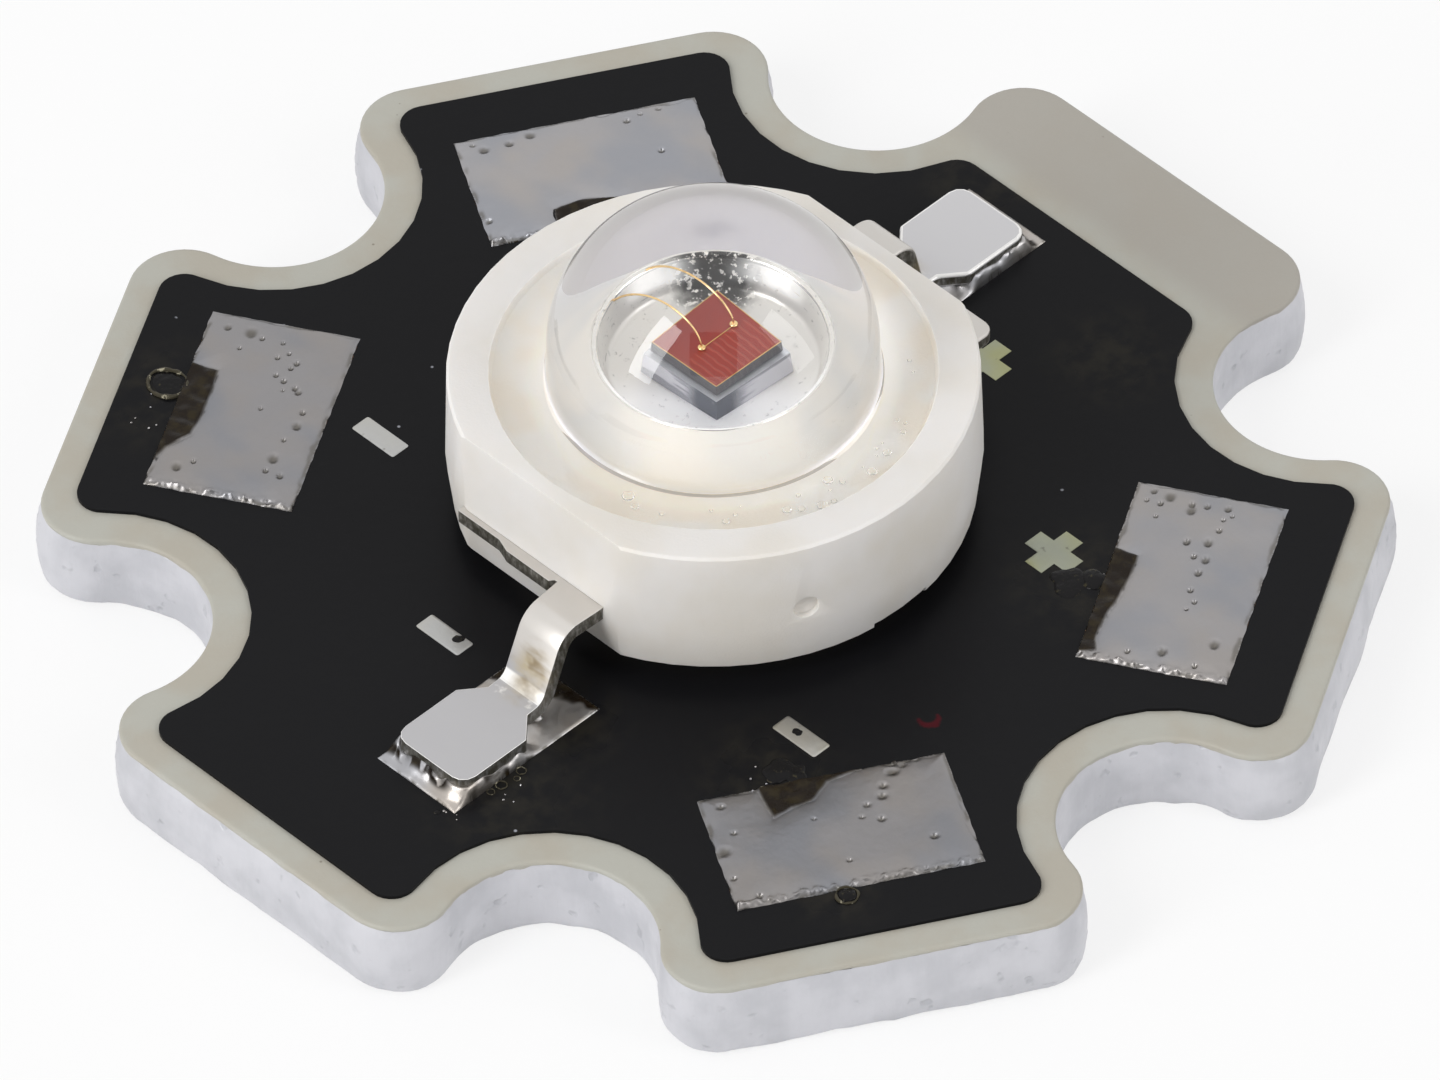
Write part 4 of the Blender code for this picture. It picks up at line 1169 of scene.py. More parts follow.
@dataclass
class WirePad:
    """One tinned wire pad in its own frame, from its middle: r outwards along the arm, t anticlockwise.

    The bite is the line of the solder's edge where flux kept it back, as places along t and depths from the
    edge, and a pit is given by its r, t and radius, all in millimetres.
    """

    angle: int
    edge: Edge
    bite: tuple[Pair, ...]
    pits: tuple[Point, ...]
    shade: float = 1.0
    centre: float = 7.33 * MM
    width: float = 2.35 * MM
    length: float = 3.85 * MM
    rows: int = 108
    columns: int = 176
    pool: float = 0.06 * MM
    front: float = 225.0

    def from_bite(self, r: Array, t: Array) -> Array:
        """The distance from the line that the flux drew in the tin.

        For each stretch A to B of the line it is |P - A - h (B - A)|, with h = (P - A).(B - A) / |B - A|^2
        held between 0 and 1, and the shortest one counts.

        Args:
            r, t: the places in metres.

        Returns:
            The distance at each place, negative on the flux's side.
        """
        side, rim = self.edge.value, self.edge.value * self.width / 2
        places, depths = np.array(self.bite).T * MM
        line = np.stack([side * (self.width / 2 - depths), places], -1)
        line = np.concatenate([[[rim, places[0]]], line, [[rim, places[-1]]]])
        point = np.stack([r, t], -1)[..., None, :]
        start, along = line[:-1], np.diff(line, axis=0)
        length = np.maximum((along**2).sum(-1), 1e-18)
        share = np.clip(((point - start) * along).sum(-1) / length, 0, 1)
        away = np.linalg.norm(point - start - share[..., None] * along, axis=-1).min(-1)
        depth = np.interp(t, places, depths, left=0, right=0)
        return np.where(side * r > self.width / 2 - depth, -away, away)

    def height(self, r: Array, t: Array) -> tuple[Array, Array, Array]:
        """The relief of the tin and what marks it.

        The solder stands at pool * sqrt(1 - (1 - d / 0.45)^2) over the thin tin, d millimetres inside its own
        edge, which is the pad's edge with ripples, or the line that the flux keeps it from. Along the borders
        that look to the front it gathers in small beads. A pit sinks it by a bell of its own radius.

        Args:
            r, t: the places in metres.

        Returns:
            The height over the pad's floor, the soil with painted shade in the pits, and the flux, each from
            0 to 1.
        """
        seed, half_width, half_length = self.angle, self.width / 2, self.length / 2
        ragged = 0.03 * MM * ripple(r, t, seed, 0.7 * MM) + 0.013 * MM * ripple(r, t, seed + 1, 0.25 * MM)
        inside = np.minimum(half_width - abs(r), half_length - abs(t)) - 0.035 * MM + ragged
        clear = self.from_bite(r + 0.5 * ragged, t + 0.5 * ragged)
        d = np.minimum(inside, clear)
        dome = np.sqrt(1 - (1 - np.clip(d / (0.45 * MM), 0, 1)) ** 2)
        height = 0.012 * MM + self.pool * dome * (1 + 0.2 * ripple(r, t, seed + 2, 1.5 * MM))
        beads = 0.55 + 0.9 * ripple(r, t, seed + 5, 0.16 * MM)
        borders = ((0, half_width - r), (180, half_width + r), (90, half_length - t), (-90, half_length + t))
        for turn, clearance in borders:
            facing = max(0.0, float(np.cos(np.radians(self.angle + turn - self.front)))) ** 2
            height = height + 0.04 * MM * facing * beads * bell(clearance - 0.07 * MM, 0.05 * MM)
        soil_and_pit_shade = 0.7 - 0.7 * smooth_step(d, -0.01 * MM, 0.03 * MM)
        soil_and_pit_shade = soil_and_pit_shade * smooth_step(ripple(r, t, seed + 4, 0.5 * MM), -0.5, 0.3)
        for place_r, place_t, radius in self.pits:
            away = np.hypot(r - place_r * MM, (t - place_t * MM) * 0.85) / (radius * 0.62 * MM)
            height = height - 0.055 * MM * bell(away, 1) + 0.004 * MM * bell(away - 1.5, 0.35)
            # Painted shade: the pit is darkened with the soil colour.
            soil_and_pit_shade = np.maximum(soil_and_pit_shade, 0.9 * bell(away * 1.1, 1, 4))
        flux = 1 - smooth_step(clear, -0.03 * MM, 0.015 * MM)
        height = height + flux * 0.045 * MM * (1 + 0.4 * ripple(r, t, seed + 3, 0.4 * MM))
        return np.maximum(height, 0.002 * MM), soil_and_pit_shade, flux

    def build(self) -> None:
        """Makes the pad: a relief over its rectangle, closed by an upright skirt and a floor."""
        plain = Tin()
        tones = [tuple(v * self.shade for v in tone) for tone in (plain.colour, plain.warm, plain.blue)]
        finish = Tin(f"pad_tin_{self.angle}", *tones).material()
        node = f"solder_pad_{self.angle}"
        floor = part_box(node)[0].z
        r = np.linspace(-0.5, 0.5, self.rows) * self.width
        t = np.linspace(-0.5, 0.5, self.columns) * self.length
        r, t = np.meshgrid(r, t, indexing="ij")
        height, soil_and_pit_shade, flux = self.height(r, t)
        height[[0, -1], :] = height[:, [0, -1]] = 0.004 * MM
        wander = 0.009 * MM * ripple(r, t, self.angle + 9, 0.3 * MM)
        edge = smooth_step(np.maximum(abs(r) / self.width, abs(t) / self.length), 0.47, 0.5)
        r, t = r * (1 + edge * wander / self.width * 2), t + edge * wander
        flat = turned(np.stack([self.centre + r, t], -1), self.angle)
        top = np.concatenate([flat, (floor + MASK_DEPTH + height)[..., None]], -1)
        shell = Shell(f"wire_pad_{self.angle}").relief(top, floor)
        shell.piece(finish, "tin_solder", (node,), sharp=60, marks={"soil_and_pit_shade": soil_and_pit_shade, "flux": flux})


WIRE_PADS = (
    WirePad(
        60,
        Edge.MIDDLE,
        ((-0.5, 0), (-0.33, 0.5), (0.3, 0.6), (0.8, 0.5), (0.9, 0)),
        (
            (0.86, 1.52, 0.12), (0.89, 1.11, 0.1), (1.0, 0.75, 0.12), (0.89, -0.77, 0.08),
            (0.99, -1.01, 0.05), (1.04, -1.31, 0.06), (0.11, -1.12, 0.07), (-0.66, 1.83, 0.08),
            (1.02, 1.66, 0.06),
        ),
        shade=1.2,
    ),
    WirePad(
        120,
        Edge.RIM,
        (
            (-0.74, 0), (-0.7, 0.46), (-0.39, 0.48), (0.21, 0.46), (0.73, 0.43), (0.95, 0.25),
            (1.1, 0.12), (1.5, 0),
        ),
        (
            (0.84, -1.6, 0.09), (0.46, -1.57, 0.16), (0.26, -1.49, 0.06), (0.54, -1.2, 0.05),
            (-0.08, -1.47, 0.05), (-0.08, -1.15, 0.06), (-0.23, -1.27, 0.05), (-0.4, -1.1, 0.07),
            (-0.34, -0.98, 0.06), (-0.16, -0.78, 0.06), (-0.31, -0.69, 0.07), (-0.52, -0.58, 0.07),
            (-0.59, -0.51, 0.08), (-0.35, -0.49, 0.04), (-0.78, -0.09, 0.07), (-0.77, 0.21, 0.11),
            (-0.13, -0.03, 0.05), (-0.66, 0.54, 0.05), (-0.61, 0.96, 0.13), (-0.57, 1.24, 0.07),
            (-0.81, 1.29, 0.08), (0.55, 1.32, 0.06), (0.77, 1.5, 0.12),
        ),
        shade=0.92,
    ),
    WirePad(
        240,
        Edge.MIDDLE,
        ((-1.0, 0), (-0.89, 0.68), (-0.28, 0.46), (0.06, 0.15), (0.65, 0.04)),
        (
            (-0.92, -1.62, 0.08), (-0.35, -1.57, 0.06), (-0.02, -1.81, 0.14), (0.55, -1.81, 0.06),
            (-0.7, 0.84, 0.09), (-0.5, 0.77, 0.1), (-0.38, 0.5, 0.07), (-0.15, 0.36, 0.05),
            (-0.05, 0.64, 0.08), (-1.06, 1.24, 0.07), (-0.95, 1.05, 0.12), (-1.13, 1.47, 0.05),
            (0.51, 1.31, 0.09), (0.66, -0.05, 0.05), (-0.3, -0.34, 0.04), (1.0, -1.53, 0.07),
        ),
        shade=0.88,
    ),
    WirePad(
        300,
        Edge.MIDDLE,
        (
            (-1.85, 0), (-1.75, 0.28), (-1.53, 0.2), (-1.11, 0.2), (-0.66, 0.31), (0.03, 0.4),
            (0.37, 0.4), (0.46, 0),
        ),
        (
            (-0.89, 1.76, 0.08), (-0.62, 1.7, 0.14), (-0.95, 1.54, 0.05), (-0.73, 1.52, 0.07),
            (-0.26, 1.61, 0.08), (-0.24, 1.48, 0.12), (-0.02, 1.62, 0.08), (0.3, 1.64, 0.09),
            (0.4, 1.5, 0.05), (0.29, 1.39, 0.05), (-0.73, 1.23, 0.05), (0.28, 1.16, 0.07),
            (-0.14, 0.81, 0.09), (0.18, 0.87, 0.11), (0.04, 0.54, 0.07), (0.23, 0.51, 0.1),
            (0.19, 0.22, 0.09), (0.17, -0.18, 0.07), (0.29, -0.41, 0.06), (0.21, -0.59, 0.04),
            (0.8, -1.19, 0.13), (-0.44, -1.66, 0.06), (0.07, -1.55, 0.12), (0.62, -1.7, 0.06),
        ),
        shade=1.05,
    ),
)


# The joints of the two leads


@dataclass
class LeadJoint:
    """The tinned land and the solder that climbs one lead's foot, in the frame of the lead along +X.

    The land, the foot and the neck are given by their lowest and highest x and then y, in millimetres.
    """

    lead: str
    turn: float
    land: Box = (4.4, 7.47, 0.3, 1.95)
    foot: Box = (5.9, 7.2, 0.38, 1.88)
    neck: Box = (5.1, 6.1, 0.68, 1.52)
    climb: float = 0.2 * MM
    rows: int = 150
    columns: int = 90

    def away(self, x: Array, y: Array, box: Box, corner: float) -> Array:
        """The distance from a rectangle with rounded corners.

        Args:
            x, y: the places in metres.
            box: the rectangle.
            corner: the radius of its corners.

        Returns:
            The distance at each place, negative inside.
        """
        x0, x1, y0, y1 = (v * MM for v in box)
        across = abs(x - (x0 + x1) / 2) - (x1 - x0) / 2 + corner
        along = abs(y - (y0 + y1) / 2) - (y1 - y0) / 2 + corner
        outside = np.hypot(np.maximum(across, 0), np.maximum(along, 0))
        return outside + np.minimum(np.maximum(across, along), 0) - corner

    def build(self, finish: Material) -> None:
        """Makes the joint: thin tin on the land and a meniscus climb * exp(-(d / 0.11)^1.2) round the foot.

        Burnt flux lies in front of the foot, along its side and in a strip towards the body.

        Args:
            finish: the material.
        """
        x0, x1, y0, y1 = (v * MM for v in self.land)
        x, y = np.meshgrid(np.linspace(x0, x1, self.rows), np.linspace(y0, y1, self.columns), indexing="ij")
        seed = 40 + int(self.turn)
        lengths = (0.5, 0.8, 0.3, 0.3, 0.4, 0.3)
        waves = (ripple(x, y, seed + i, length * MM) for i, length in enumerate(lengths))
        spilt, clouded, dulled, before, beside, inward = waves
        d = np.minimum(self.away(x, y, self.foot, 0.2 * MM), self.away(x, y, self.neck, 0.05 * MM))
        spill = 1 + 0.5 * spilt + 1.2 * bell(np.hypot(x - x1, y - y1), 0.35 * MM)
        wet = smooth_step(x, 5.2 * MM, 5.7 * MM)
        rise = self.climb * bell(np.maximum(d, 0), 0.11 * MM, 1.2) * spill * wet
        height = 0.018 * MM * (1 + 0.4 * clouded) + np.minimum(rise, 0.23 * MM)
        height = np.where(d < -0.05 * MM, 0.08 * MM, height)
        edge = np.minimum(np.minimum(x - x0, x1 - x), np.minimum(y - y0, y1 - y))
        thin = smooth_step(edge, 0, 0.05 * MM)
        height = np.where(edge <= 0, 0.004 * MM, height * (0.55 + 0.45 * thin))
        soil_and_pit_shade = (1 - thin) * smooth_step(dulled, -0.2, 0.6)
        front = bell(x - 7.24 * MM, 0.08 * MM, 4) * smooth_step(before, -0.3, 0)
        front = front * (1 - smooth_step(y, 1.5 * MM, 1.7 * MM))
        side = bell(y - 1.93 * MM, 0.06 * MM, 4) * smooth_step(beside, -0.2, 0.1)
        side = side * smooth_step(x, 5.6 * MM, 5.9 * MM) * (1 - smooth_step(x, 6.9 * MM, 7.1 * MM))
        strip = 1 - smooth_step(x - x0 - 0.4 * (y1 - y) + 0.06 * MM * inward, 0, 0.12 * MM)
        node = f"{self.lead}_solder"
        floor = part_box(node)[0].z
        flat = turned(np.stack([x, y], -1), self.turn)
        top = np.concatenate([flat, (floor + MASK_DEPTH + height)[..., None]], -1)
        marks = {"soil_and_pit_shade": soil_and_pit_shade, "flux": np.clip(front + side + strip, 0, 1)}
        shell = Shell(f"{self.lead}_joint").relief(top, floor)
        shell.piece(finish, "tin_solder", (node,), sharp=70, marks=marks)


@dataclass
class FluxMarks:
    """What the soldering left on the lacquer: rings of burst bubbles, drops and beads, in millimetres.

    A ring is given by its place and radius, a drop by its place, radius and height, and a home of the beads
    by its place and spread.
    """

    rings: tuple[Point, ...] = (
        (-4.16, 7.69, 0.3), (-4.54, -7.35, 0.17), (-6.56, -2.03, 0.085), (-6.77, -2.02, 0.06),
        (-6.14, -2.03, 0.075), (-6.3, -2.1, 0.05), (2.86, -5.42, 0.06), (2.75, -5.3, 0.05),
        (-3.62, -4.84, 0.07), (-3.86, -4.9, 0.06),
    )
    drops: tuple[Box, ...] = (
        (2.47, -5.09, 0.3, 0.03), (-3.42, -4.78, 0.26, 0.05), (-4.16, 7.69, 0.26, 0.02),
        (-3.3, -5.02, 0.2, 0.04), (-4.54, -7.35, 0.15, 0.05), (2.8, -5.35, 0.2, 0.04),
        (-7.62, -1.75, 0.05, 0.02), (2.62, 6.0, 0.2, 0.04), (-4.87, 0.62, 0.11, 0.024),
        (-2.66, -4.42, 0.1, 0.022),
    )
    homes: tuple[Point, ...] = (
        (-4.7, 7.5, 0.5), (-6.6, -2.15, 0.5), (-7.4, -1.9, 0.25), (2.8, -5.4, 0.2), (-3.7, -4.85, 0.3),
    )
    beads: int = 30

    def build(self) -> None:
        """Makes the marks on the lacquer."""
        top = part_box("solder_mask")[1].z
        self.bubbles(top)
        drops = Shell("flux_drops")
        for i, drop in enumerate(self.drops):
            self.drop(drops, drop, top, 100 + i)
        drops.piece(FluxResin().material(), "tin_solder")
        rng = np.random.default_rng(5)
        beads = Shell("solder_beads")
        for i in range(self.beads):
            x, y, spread = self.homes[i % len(self.homes)]
            x, y = x + rng.normal(0, spread * 0.5), y + rng.normal(0, spread * 0.5)
            radius = rng.uniform(0.012, 0.026)
            self.drop(beads, (x, y, radius, radius * 1.2), top, 200 + i, 9)
        tin = Tin(name="bead_tin", colour=srgb(215, 215, 220), roughness=0.16, marked=False)
        beads.piece(tin.material(), "tin_solder")

    def bubbles(self, top: float) -> None:
        """The rings of burst bubbles, each a torus whose radius and thickness wander round it.

        Args:
            top: the height of the lacquer.
        """
        shell = Shell("flux_rings")
        turn = np.linspace(0, 2 * np.pi, 36, endpoint=False)
        tube = np.linspace(0, 2 * np.pi, 8, endpoint=False)[:, None]
        for i, (x, y, radius) in enumerate(self.rings):
            thick = (0.12 + 0.06 * ripple(np.cos(turn), np.sin(turn), 60 + i, 0.9)) * radius
            reach = radius * (1 + 0.06 * ripple(np.cos(turn), np.sin(turn), 80 + i, 1.2))
            r = reach + thick * np.cos(tube)
            z = top / MM + thick * (0.6 + np.sin(tube))
            grid = np.stack([x + r * np.cos(turn), y + r * np.sin(turn), z], -1) * MM
            shell.grid(np.concatenate([grid, grid[:1]])[::-1], closed=True)
        shell.piece(FluxResin("flux_ring", srgb(66, 62, 50), srgb(176, 170, 148)).material(), "tin_solder")

    def drop(self, shell: Shell, drop: Box, top: float, seed: int, columns: int = 40) -> None:
        """Adds a low drop, height * sqrt(1 - (r / R)^2) high, with a wandering outline.

        Args:
            shell: what it is added to.
            drop: its place, radius and height in millimetres.
            top: the height of the lacquer in metres.
            seed: picks its outline.
            columns: the points round it.
        """
        x, y, radius, height = drop
        turn = np.arange(columns) * 2 * np.pi / columns
        share = np.sin(np.linspace(np.pi / 2, 0, 7))[:, None]
        r = share * (radius * (1 + 0.22 * ripple(np.cos(turn), np.sin(turn), seed, 1.6)))
        z = top / MM + height * np.sqrt(np.clip(1 - share**2, 0, 1)) + 0 * r
        rows = np.stack([x + r * np.cos(turn), y + r * np.sin(turn), z], -1) * MM
        under = rows[:1] * [1, 1, 0] + [0, 0, top - 0.012 * MM]
        shell.grid(np.concatenate([under, rows]), closed=True).cap(under[0], up=False)


# The emitter


@dataclass
class Emitter:
    """The moulded body, the silvered slug with its chip and wires, and the clear lens with its gel.

    Sizes are in millimetres and heights are above the board's top, which lies at board.
    """

    board: float = 1.5
    lens_radius: float = 2.53
    shoulder_radius: float = 2.28
    shoulder_height: float = 3.27
    flange_top: float = 2.684
    bore: float = 3.41
    seat_high: Pair = (3.36, 2.604)
    well_mouth: Pair = (2.35, 2.104)
    well_radius: float = 2.3
    well_floor: float = 1.36
    post_radius: float = 1.6
    post_shoulder: float = 2.3
    cup_rim: float = 3.05
    cup_floor: float = 2.8
    cup_mouth: float = 1.19
    cup_outer: float = 1.23
    cup_base: float = 1.03
    slug_radius: float = 2.9
    slug_foot: float = 0.1
    slug_shelf: float = 0.65
    sleeve: float = 0.02
    wire_places: Pair = (-0.13, 0.33)
    wire_start: float = 0.04
    wire_radius: float = 0.0115
    ball_radius: float = 0.045
    bead_places: tuple[Point, ...] = (
        (-1.31, -2.88, 0.07), (-1.14, -3.02, 0.06), (-0.87, -3.2, 0.09), (-0.68, -3.25, 0.05),
        (-0.44, -2.88, 0.08), (-2.12, -2.4, 0.06), (0.16, -3.22, 0.08), (-2.79, -0.98, 0.1),
        (-2.86, -1.2, 0.06), (-0.3, -3.05, 0.05), (0.6, -3.1, 0.07), (1.1, -2.95, 0.05),
    )

    stray_beads: int = 14

    def build(self) -> None:
        """Makes and dresses the emitter."""
        softened("moulded_body", "housing", WhiteMoulding().material(), 0.06 * MM)
        self.slug()
        self.collar()
        self.chip()
        self.wires()
        self.lens()
        self.flecks()

    def collar(self) -> None:
        """The thin sleeve of the moulding that hugs the slug's post up to the mouth of its cup."""
        thin, rim = self.sleeve, self.board + self.cup_rim
        foot, shoulder = self.board + self.well_floor, self.board + self.post_shoulder
        profile = rounded([
            (self.post_radius - thin, foot, 0),
            (self.post_radius + thin, foot, 0),
            (self.post_radius + thin, shoulder, 0.1),
            (self.cup_outer + thin, rim - thin / 2, 0.01),
            (self.cup_outer - thin, rim - thin, 0),
            (self.post_radius - thin, shoulder - thin, 0),
        ])
        shell = Shell("well_collar").spin(np.concatenate([profile, profile[:1]]) * MM, 144)
        # Its emission is painted light, as in the body's bore, set here with its own strengths and fade from
        # front to back.
        moulding = WhiteMoulding(
            name="white_collar",
            wetted=(0.8, 0.79, 0.77),
            lit=(0.21, 0.195, 0.165),
            far_lit=(0.0, 0.0, 0.0),
            fade=(-1.5, -0.2),
        )
        shell.piece(moulding.material(), "white_moulding", sharp=60)

    def slug(self) -> None:
        """The turned slug, from the middle of its foot round its flange and post into its cup."""
        b = self.board
        profile = rounded([
            (0, b + self.slug_foot, 0),
            (self.slug_radius, b + self.slug_foot, 0.1),
            (self.slug_radius, b + self.slug_shelf, 0.1),
            (self.post_radius, b + self.slug_shelf, 0.02),
            (self.post_radius, b + self.post_shoulder, 0.05),
            (self.cup_outer, b + self.cup_rim, 0.015),
            (self.cup_mouth, b + self.cup_rim, 0.015),
            (self.cup_base, b + self.cup_floor, 0.05),
            (0, b + self.cup_floor, 0),
        ])
        shell = Shell("silvered_cup").spin(profile * MM, 144)
        shell.piece(SilverPlate().material(), "silvered_slug", ("heat_slug",), sharp=60)

    def chip(self) -> None:
        """The submount, its bond and the chip, which stay as they are, and the gold on the chip."""
        dress("submount", Submount().material())
        dress("die_attach", PlainMetal("silver_bond", srgb(150, 150, 150), srgb(90, 90, 90), 0.4).material())
        dress("slug_solder", Tin(name="slug_tin", marked=False).material())
        dress("led_die", RedDie().material())
        low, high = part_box("led_die")
        x0, y0, x1, y1, top = low.x, low.y, high.x, high.y, high.z
        line, thick = 0.009 * MM, 0.006 * MM
        ball = self.wire_start * MM
        bars = [(x0, y0, x1, y0 + line), (x0, y1 - line, x1, y1)]
        bars += [(x0, y0, x0 + line, y1), (x1 - line, y0, x1, y1)]
        bars.append((self.wire_places[0] * MM, ball - line / 2, self.wire_places[1] * MM, ball + line / 2))
        shell = Shell("gold_contacts")
        for a, b, c, d in bars:
            plate = rectangle(c - a, d - b, line * 0.2, 3) + [(a + c) / 2, (b + d) / 2]
            shell.stack(plate, [(0, top - 0.002 * MM), (0, top + thick * 0.6), (line * 0.15, top + thick)])
        gold = PlainMetal("gold_contact", srgb(222, 190, 130), srgb(176, 128, 76), 0.3)
        shell.piece(gold.material(), "gold_wire")

    def wires(self) -> None:
        """The two gold wires with their ball bonds.

        A wire follows P = sum of (3 over i) t^i (1-t)^(3-i) K_i, over four knots K.
        """
        gold = PlainMetal("gold_wire", srgb(240, 208, 152), srgb(208, 164, 104), 0.24).material()
        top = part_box("led_die")[1].z / MM
        t = np.linspace(0, 1, 72)[:, None]
        knots = [(self.wire_start, top + 0.02), (self.wire_start + 0.04, self.board + 3.62)]
        knots += [(0.95, self.board + 3.66), (1.22, self.board + 2.9)]
        weights = [w * t**i * (1 - t) ** (3 - i) for i, w in enumerate((1, 3, 3, 1))]
        flat = sum(w * np.array(k) for w, k in zip(weights, knots))
        polar = np.linspace(-np.pi / 2, np.pi / 2, 12)
        ball = np.stack([self.ball_radius * np.cos(polar), top + 0.02 + 0.022 * np.sin(polar)], 1)
        for name, place in zip("ab", self.wire_places):
            path = np.concatenate([np.full((len(flat), 1), place), flat], 1) * MM
            shell = Shell(f"gold_wire_{name}").tube(path, self.wire_radius * MM, 12)
            shell.spin(ball * MM, 24, (place * MM, self.wire_start * MM))
            shell.piece(gold, "gold_wire", (f"bond_wire_{name}",))

    def dome(self) -> Array:
        """The lens from its widest circle to its apex: a shoulder arc that runs into a flatter crown arc.

        Returns:
            The radius and height of each point.
        """
        offset = self.lens_radius - self.shoulder_radius
        centre = self.board + self.shoulder_height
        quarter = np.pi / 4
        crown = self.shoulder_radius + offset / np.cos(quarter)
        crown_centre = centre - offset * np.tan(quarter)
        shoulder = arc((offset, centre), self.shoulder_radius, 0, quarter, 26)
        top = arc((0, crown_centre), crown, quarter, np.pi / 2, 34)
        return np.concatenate([shoulder, top[1:]])

    def lens(self) -> None:
        """Lens and gel as the one clear body that the eye sees, seated a hair inside what it touches."""
        b, sink = self.board, 0.012
        flange, rim = b + self.flange_top, b + self.cup_rim - sink
        floor = b + self.well_floor - sink
        corners = [
            (0, b + self.cup_floor - sink, 0),
            (self.cup_base + sink, b + self.cup_floor - sink, 0.05),
            (self.cup_mouth + sink, rim, 0),
            (self.cup_outer - sink, rim, 0),
            (self.post_radius - sink, b + self.post_shoulder, 0.05),
            (self.post_radius - sink, floor, 0),
            (self.well_radius + sink, floor, 0),
            (self.well_mouth[0] + sink, b + self.well_mouth[1] - sink, 0),
            (self.seat_high[0], b + self.seat_high[1] - sink, 0),
            (self.bore + sink, b + self.seat_high[1], 0),
            (self.bore + sink, flange + 0.02, 0),
            (self.bore - 0.06, flange + 0.004, 0),
            (self.bore - 0.2, flange, 0),
            (self.lens_radius + 0.03, flange, 0.12),
            (self.lens_radius, b + self.shoulder_height, 0),
        ]
        profile = np.concatenate([rounded(corners, 9)[:-1], self.dome()])
        shell = Shell("clear_lens_and_gel").spin(profile * MM, 192)
        shell.piece(ClearResin().material(), "clear_lens", ("lens", "silicone_gel"), sharp=25)

    def flecks(self) -> None:
        """Beads of sealing resin on the flange in front of the dome."""
        rng = np.random.default_rng(21)
        places = list(self.bead_places)
        for _ in range(self.stray_beads):
            turn, reach = np.radians(rng.uniform(-160, -40)), rng.uniform(2.9, 3.25)
            places.append((reach * np.cos(turn), reach * np.sin(turn), rng.uniform(0.02, 0.04)))
        shell = Shell("sealing_resin_beads")
        polar = np.linspace(-np.pi / 2, np.pi / 2, 9)
        for x, y, size in places:
            height = self.board + self.flange_top + size * 0.35 * (1 + 1.2 * np.sin(polar))
            shell.spin(np.stack([size * np.cos(polar), height], 1) * MM, 14, (x * MM, y * MM))
        shell.piece(ClearResin("sealing_resin", (1.0, 0.985, 0.95), 1.45, 0.01).material(), "clear_lens")


# The studio


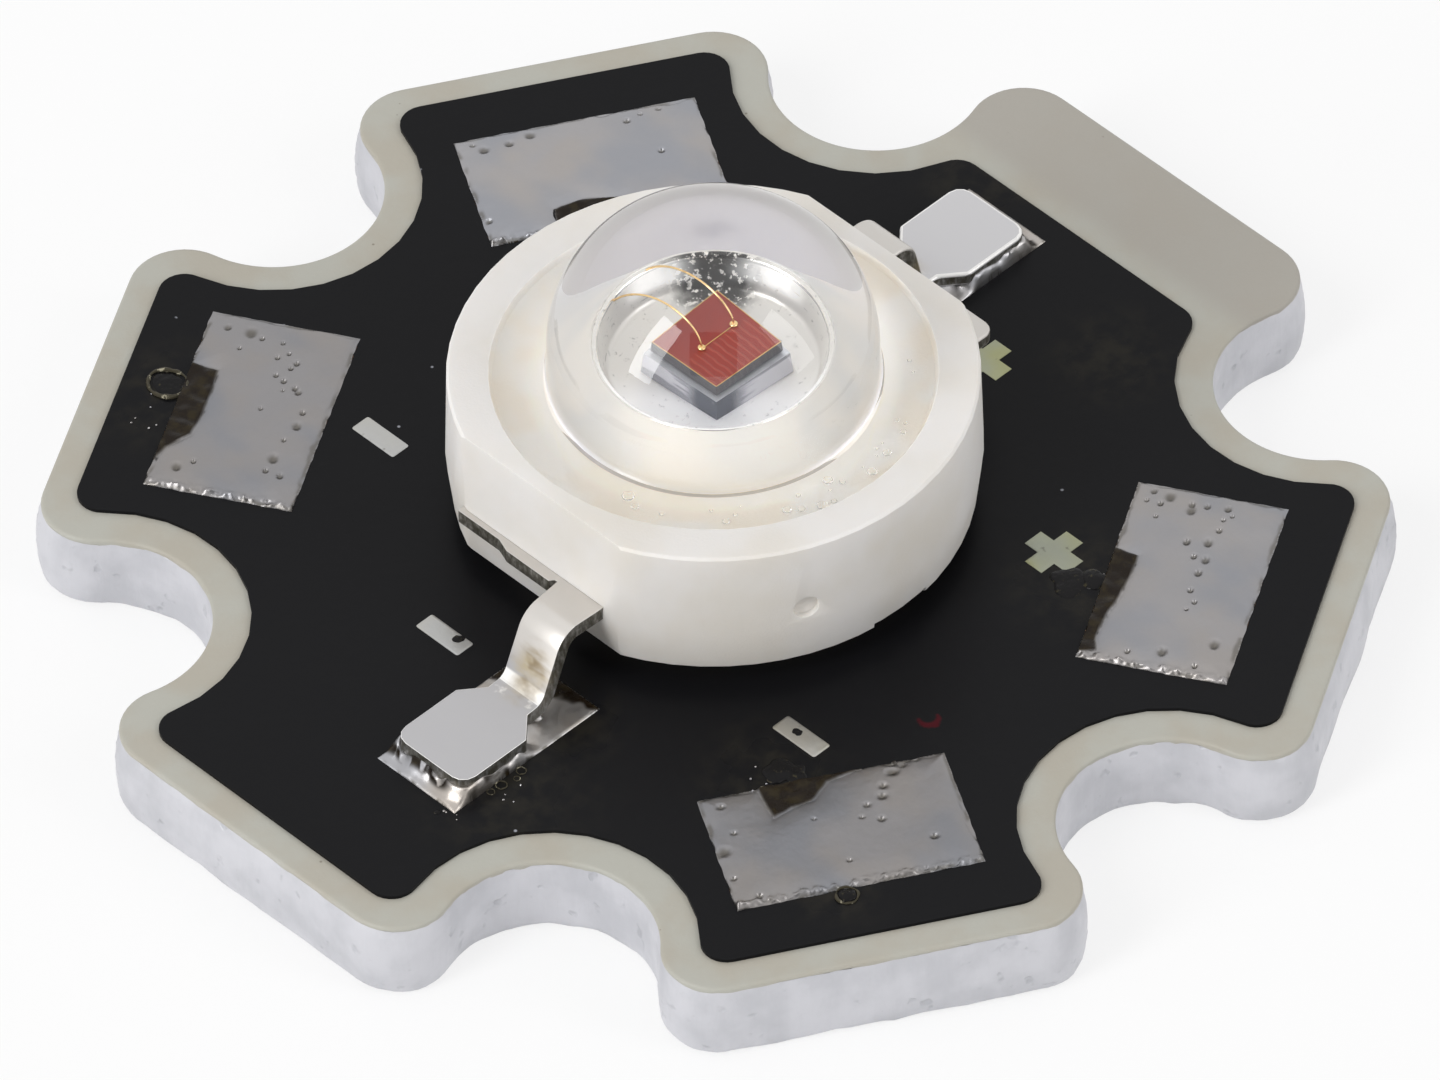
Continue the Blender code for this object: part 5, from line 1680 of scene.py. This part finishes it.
@dataclass
class Studio:
    """A pale floor, soft lamps, a plain bright surround, a dark card and the camera.

    A lamp is given by its name, its place, its width and height, and its power in watts.
    """

    focal_length: float = 559.03
    sensor: float = 36.0
    camera_place: Point = (-0.167397, -0.171305, 0.243023)
    right: Point = (0.70828, -0.70587, -0.00945)
    up: Point = (0.50691, 0.49923, 0.70271)
    forward: Point = (0.49130, 0.50251, -0.71141)
    surround: float = 0.68
    floor_reach: float = 1.5
    floor_lift: float = 0.75
    shade_distance: float = 0.5
    shade_reach: float = 0.14
    lamps: tuple[tuple[str, Point, Pair, float], ...] = (
        ("key_lamp", (-0.395, 0.05, 0.278), (0.15, 0.4), 1.3),
        ("top_lamp", (0.08, 0.12, 0.52), (0.36, 0.36), 0.06),
        ("front_lamp", (0.17, -0.405, 0.27), (0.15, 0.4), 0.5),
    )

    def build(self) -> None:
        """Makes the studio."""
        self.camera()
        self.floor()
        self.shade()
        self.world()
        for name, place, size, power in self.lamps:
            self.lamp(name, place, size, power)
        bpy.context.scene.view_settings.view_transform = "Standard"

    def camera(self) -> None:
        """The camera at the photograph's place, with its long lens."""
        data = bpy.data.cameras.new("studio_camera")
        data.lens = self.focal_length
        data.sensor_width = self.sensor
        data.clip_start = 0.01
        data.clip_end = 10.0
        camera = linked("studio_camera", data)
        turn = Matrix((self.right, self.up, tuple(-v for v in self.forward))).transposed()
        camera.matrix_world = Matrix.Translation(self.camera_place) @ turn.to_4x4()
        bpy.context.scene.camera = camera

    def lamp(self, name: str, place: Point, size: Pair, power: float) -> None:
        """A soft lamp that looks at the object.

        Args:
            name: its name.
            place: where it stands.
            size: its width and height.
            power: its power in watts.
        """
        data = bpy.data.lights.new(name, "AREA")
        data.shape = "RECTANGLE"
        data.size, data.size_y = size
        data.energy = power
        aim = Vector(place).to_track_quat("Z", "Y").to_matrix().to_4x4()
        linked(name, data).matrix_world = Matrix.Translation(place) @ aim

    def seen(self, s: Shader) -> Number:
        """1 for a ray that shows the background: from the camera, a mirror or a lens."""
        path = s.node("ShaderNodeLightPath").outputs
        return Number(s, path["Is Camera Ray"]).most(path["Is Glossy Ray"]).most(path["Is Transmission Ray"])

    def card(self, name: str, centre: Vector, across: Vector, along: Vector, finish: Material) -> None:
        """A flat piece of the studio, with its corners at the centre -/+ across -/+ along.

        Args:
            name: its name.
            centre: its middle.
            across, along: half of its width and of its height, as vectors.
            finish: its material.
        """
        signs = ((-1, -1), (1, -1), (1, 1), (-1, 1))
        corners = [tuple(centre + across * i + along * j) for i, j in signs]
        mesh = bpy.data.meshes.new(name)
        mesh.from_pydata(corners, [], [(0, 1, 2, 3)])
        mesh.materials.append(finish)
        linked(name, mesh)

    def floor(self) -> None:
        """The pale floor, lifted towards white where it is seen, which keeps the object's shadow."""
        s = Shader("pale_floor")
        matt = s.surface(Base_Color=(0.88, 0.88, 0.88), Roughness=0.9, Specular_IOR_Level=0.1)
        glow = s.node("ShaderNodeEmission", {}, {"Color": (1, 1, 1, 1), "Strength": 1.0}).outputs[0]
        finish = s.blend(self.seen(s) * self.floor_lift, matt, glow)
        across, along = Vector((self.floor_reach, 0, 0)), Vector((0, self.floor_reach, 0))
        self.card("floor", Vector(), across, along, finish)

    def shade(self) -> None:
        """The dark card behind the camera, which the polished parts mirror."""
        finish = Shader("dark_card").finish(Base_Color=(0.05, 0.05, 0.055), Roughness=0.8)
        centre = -Vector(self.forward) * self.shade_distance
        across, along = Vector(self.right) * self.shade_reach, Vector(self.up) * self.shade_reach
        self.card("camera_shade", centre, across, along, finish)

    def world(self) -> None:
        """The surround: white where it is seen, dimmer as a light."""
        world = bpy.data.worlds.new("surround")
        bpy.context.scene.world = world
        s = Shader("surround", world)
        strength = self.seen(s) * (1 - self.surround) + self.surround
        light = s.node("ShaderNodeBackground", {}, {"Color": (1, 1, 1, 1), "Strength": strength})
        s.node("ShaderNodeOutputWorld", {}, {"Surface": light.outputs[0]})


def main() -> None:
    """Builds the pieces in order."""
    logging.basicConfig(level=logging.INFO, format="%(message)s")
    Studio().build()
    StarBoard().build()
    for pad in WIRE_PADS:
        pad.build()
    tin = Tin("joint_tin", srgb(176, 174, 173), srgb(180, 173, 166), srgb(168, 169, 174)).material()
    plating = TinnedLead().material()
    for lead, turn in (("anode", 0.0), ("cathode", 180.0)):
        LeadJoint(lead, turn).build(tin)
        softened(f"{lead}_lead_frame", f"{lead}_lead", plating, 0.05 * MM)
    FluxMarks().build()
    Emitter().build()


if __name__ == "__main__":
    main()
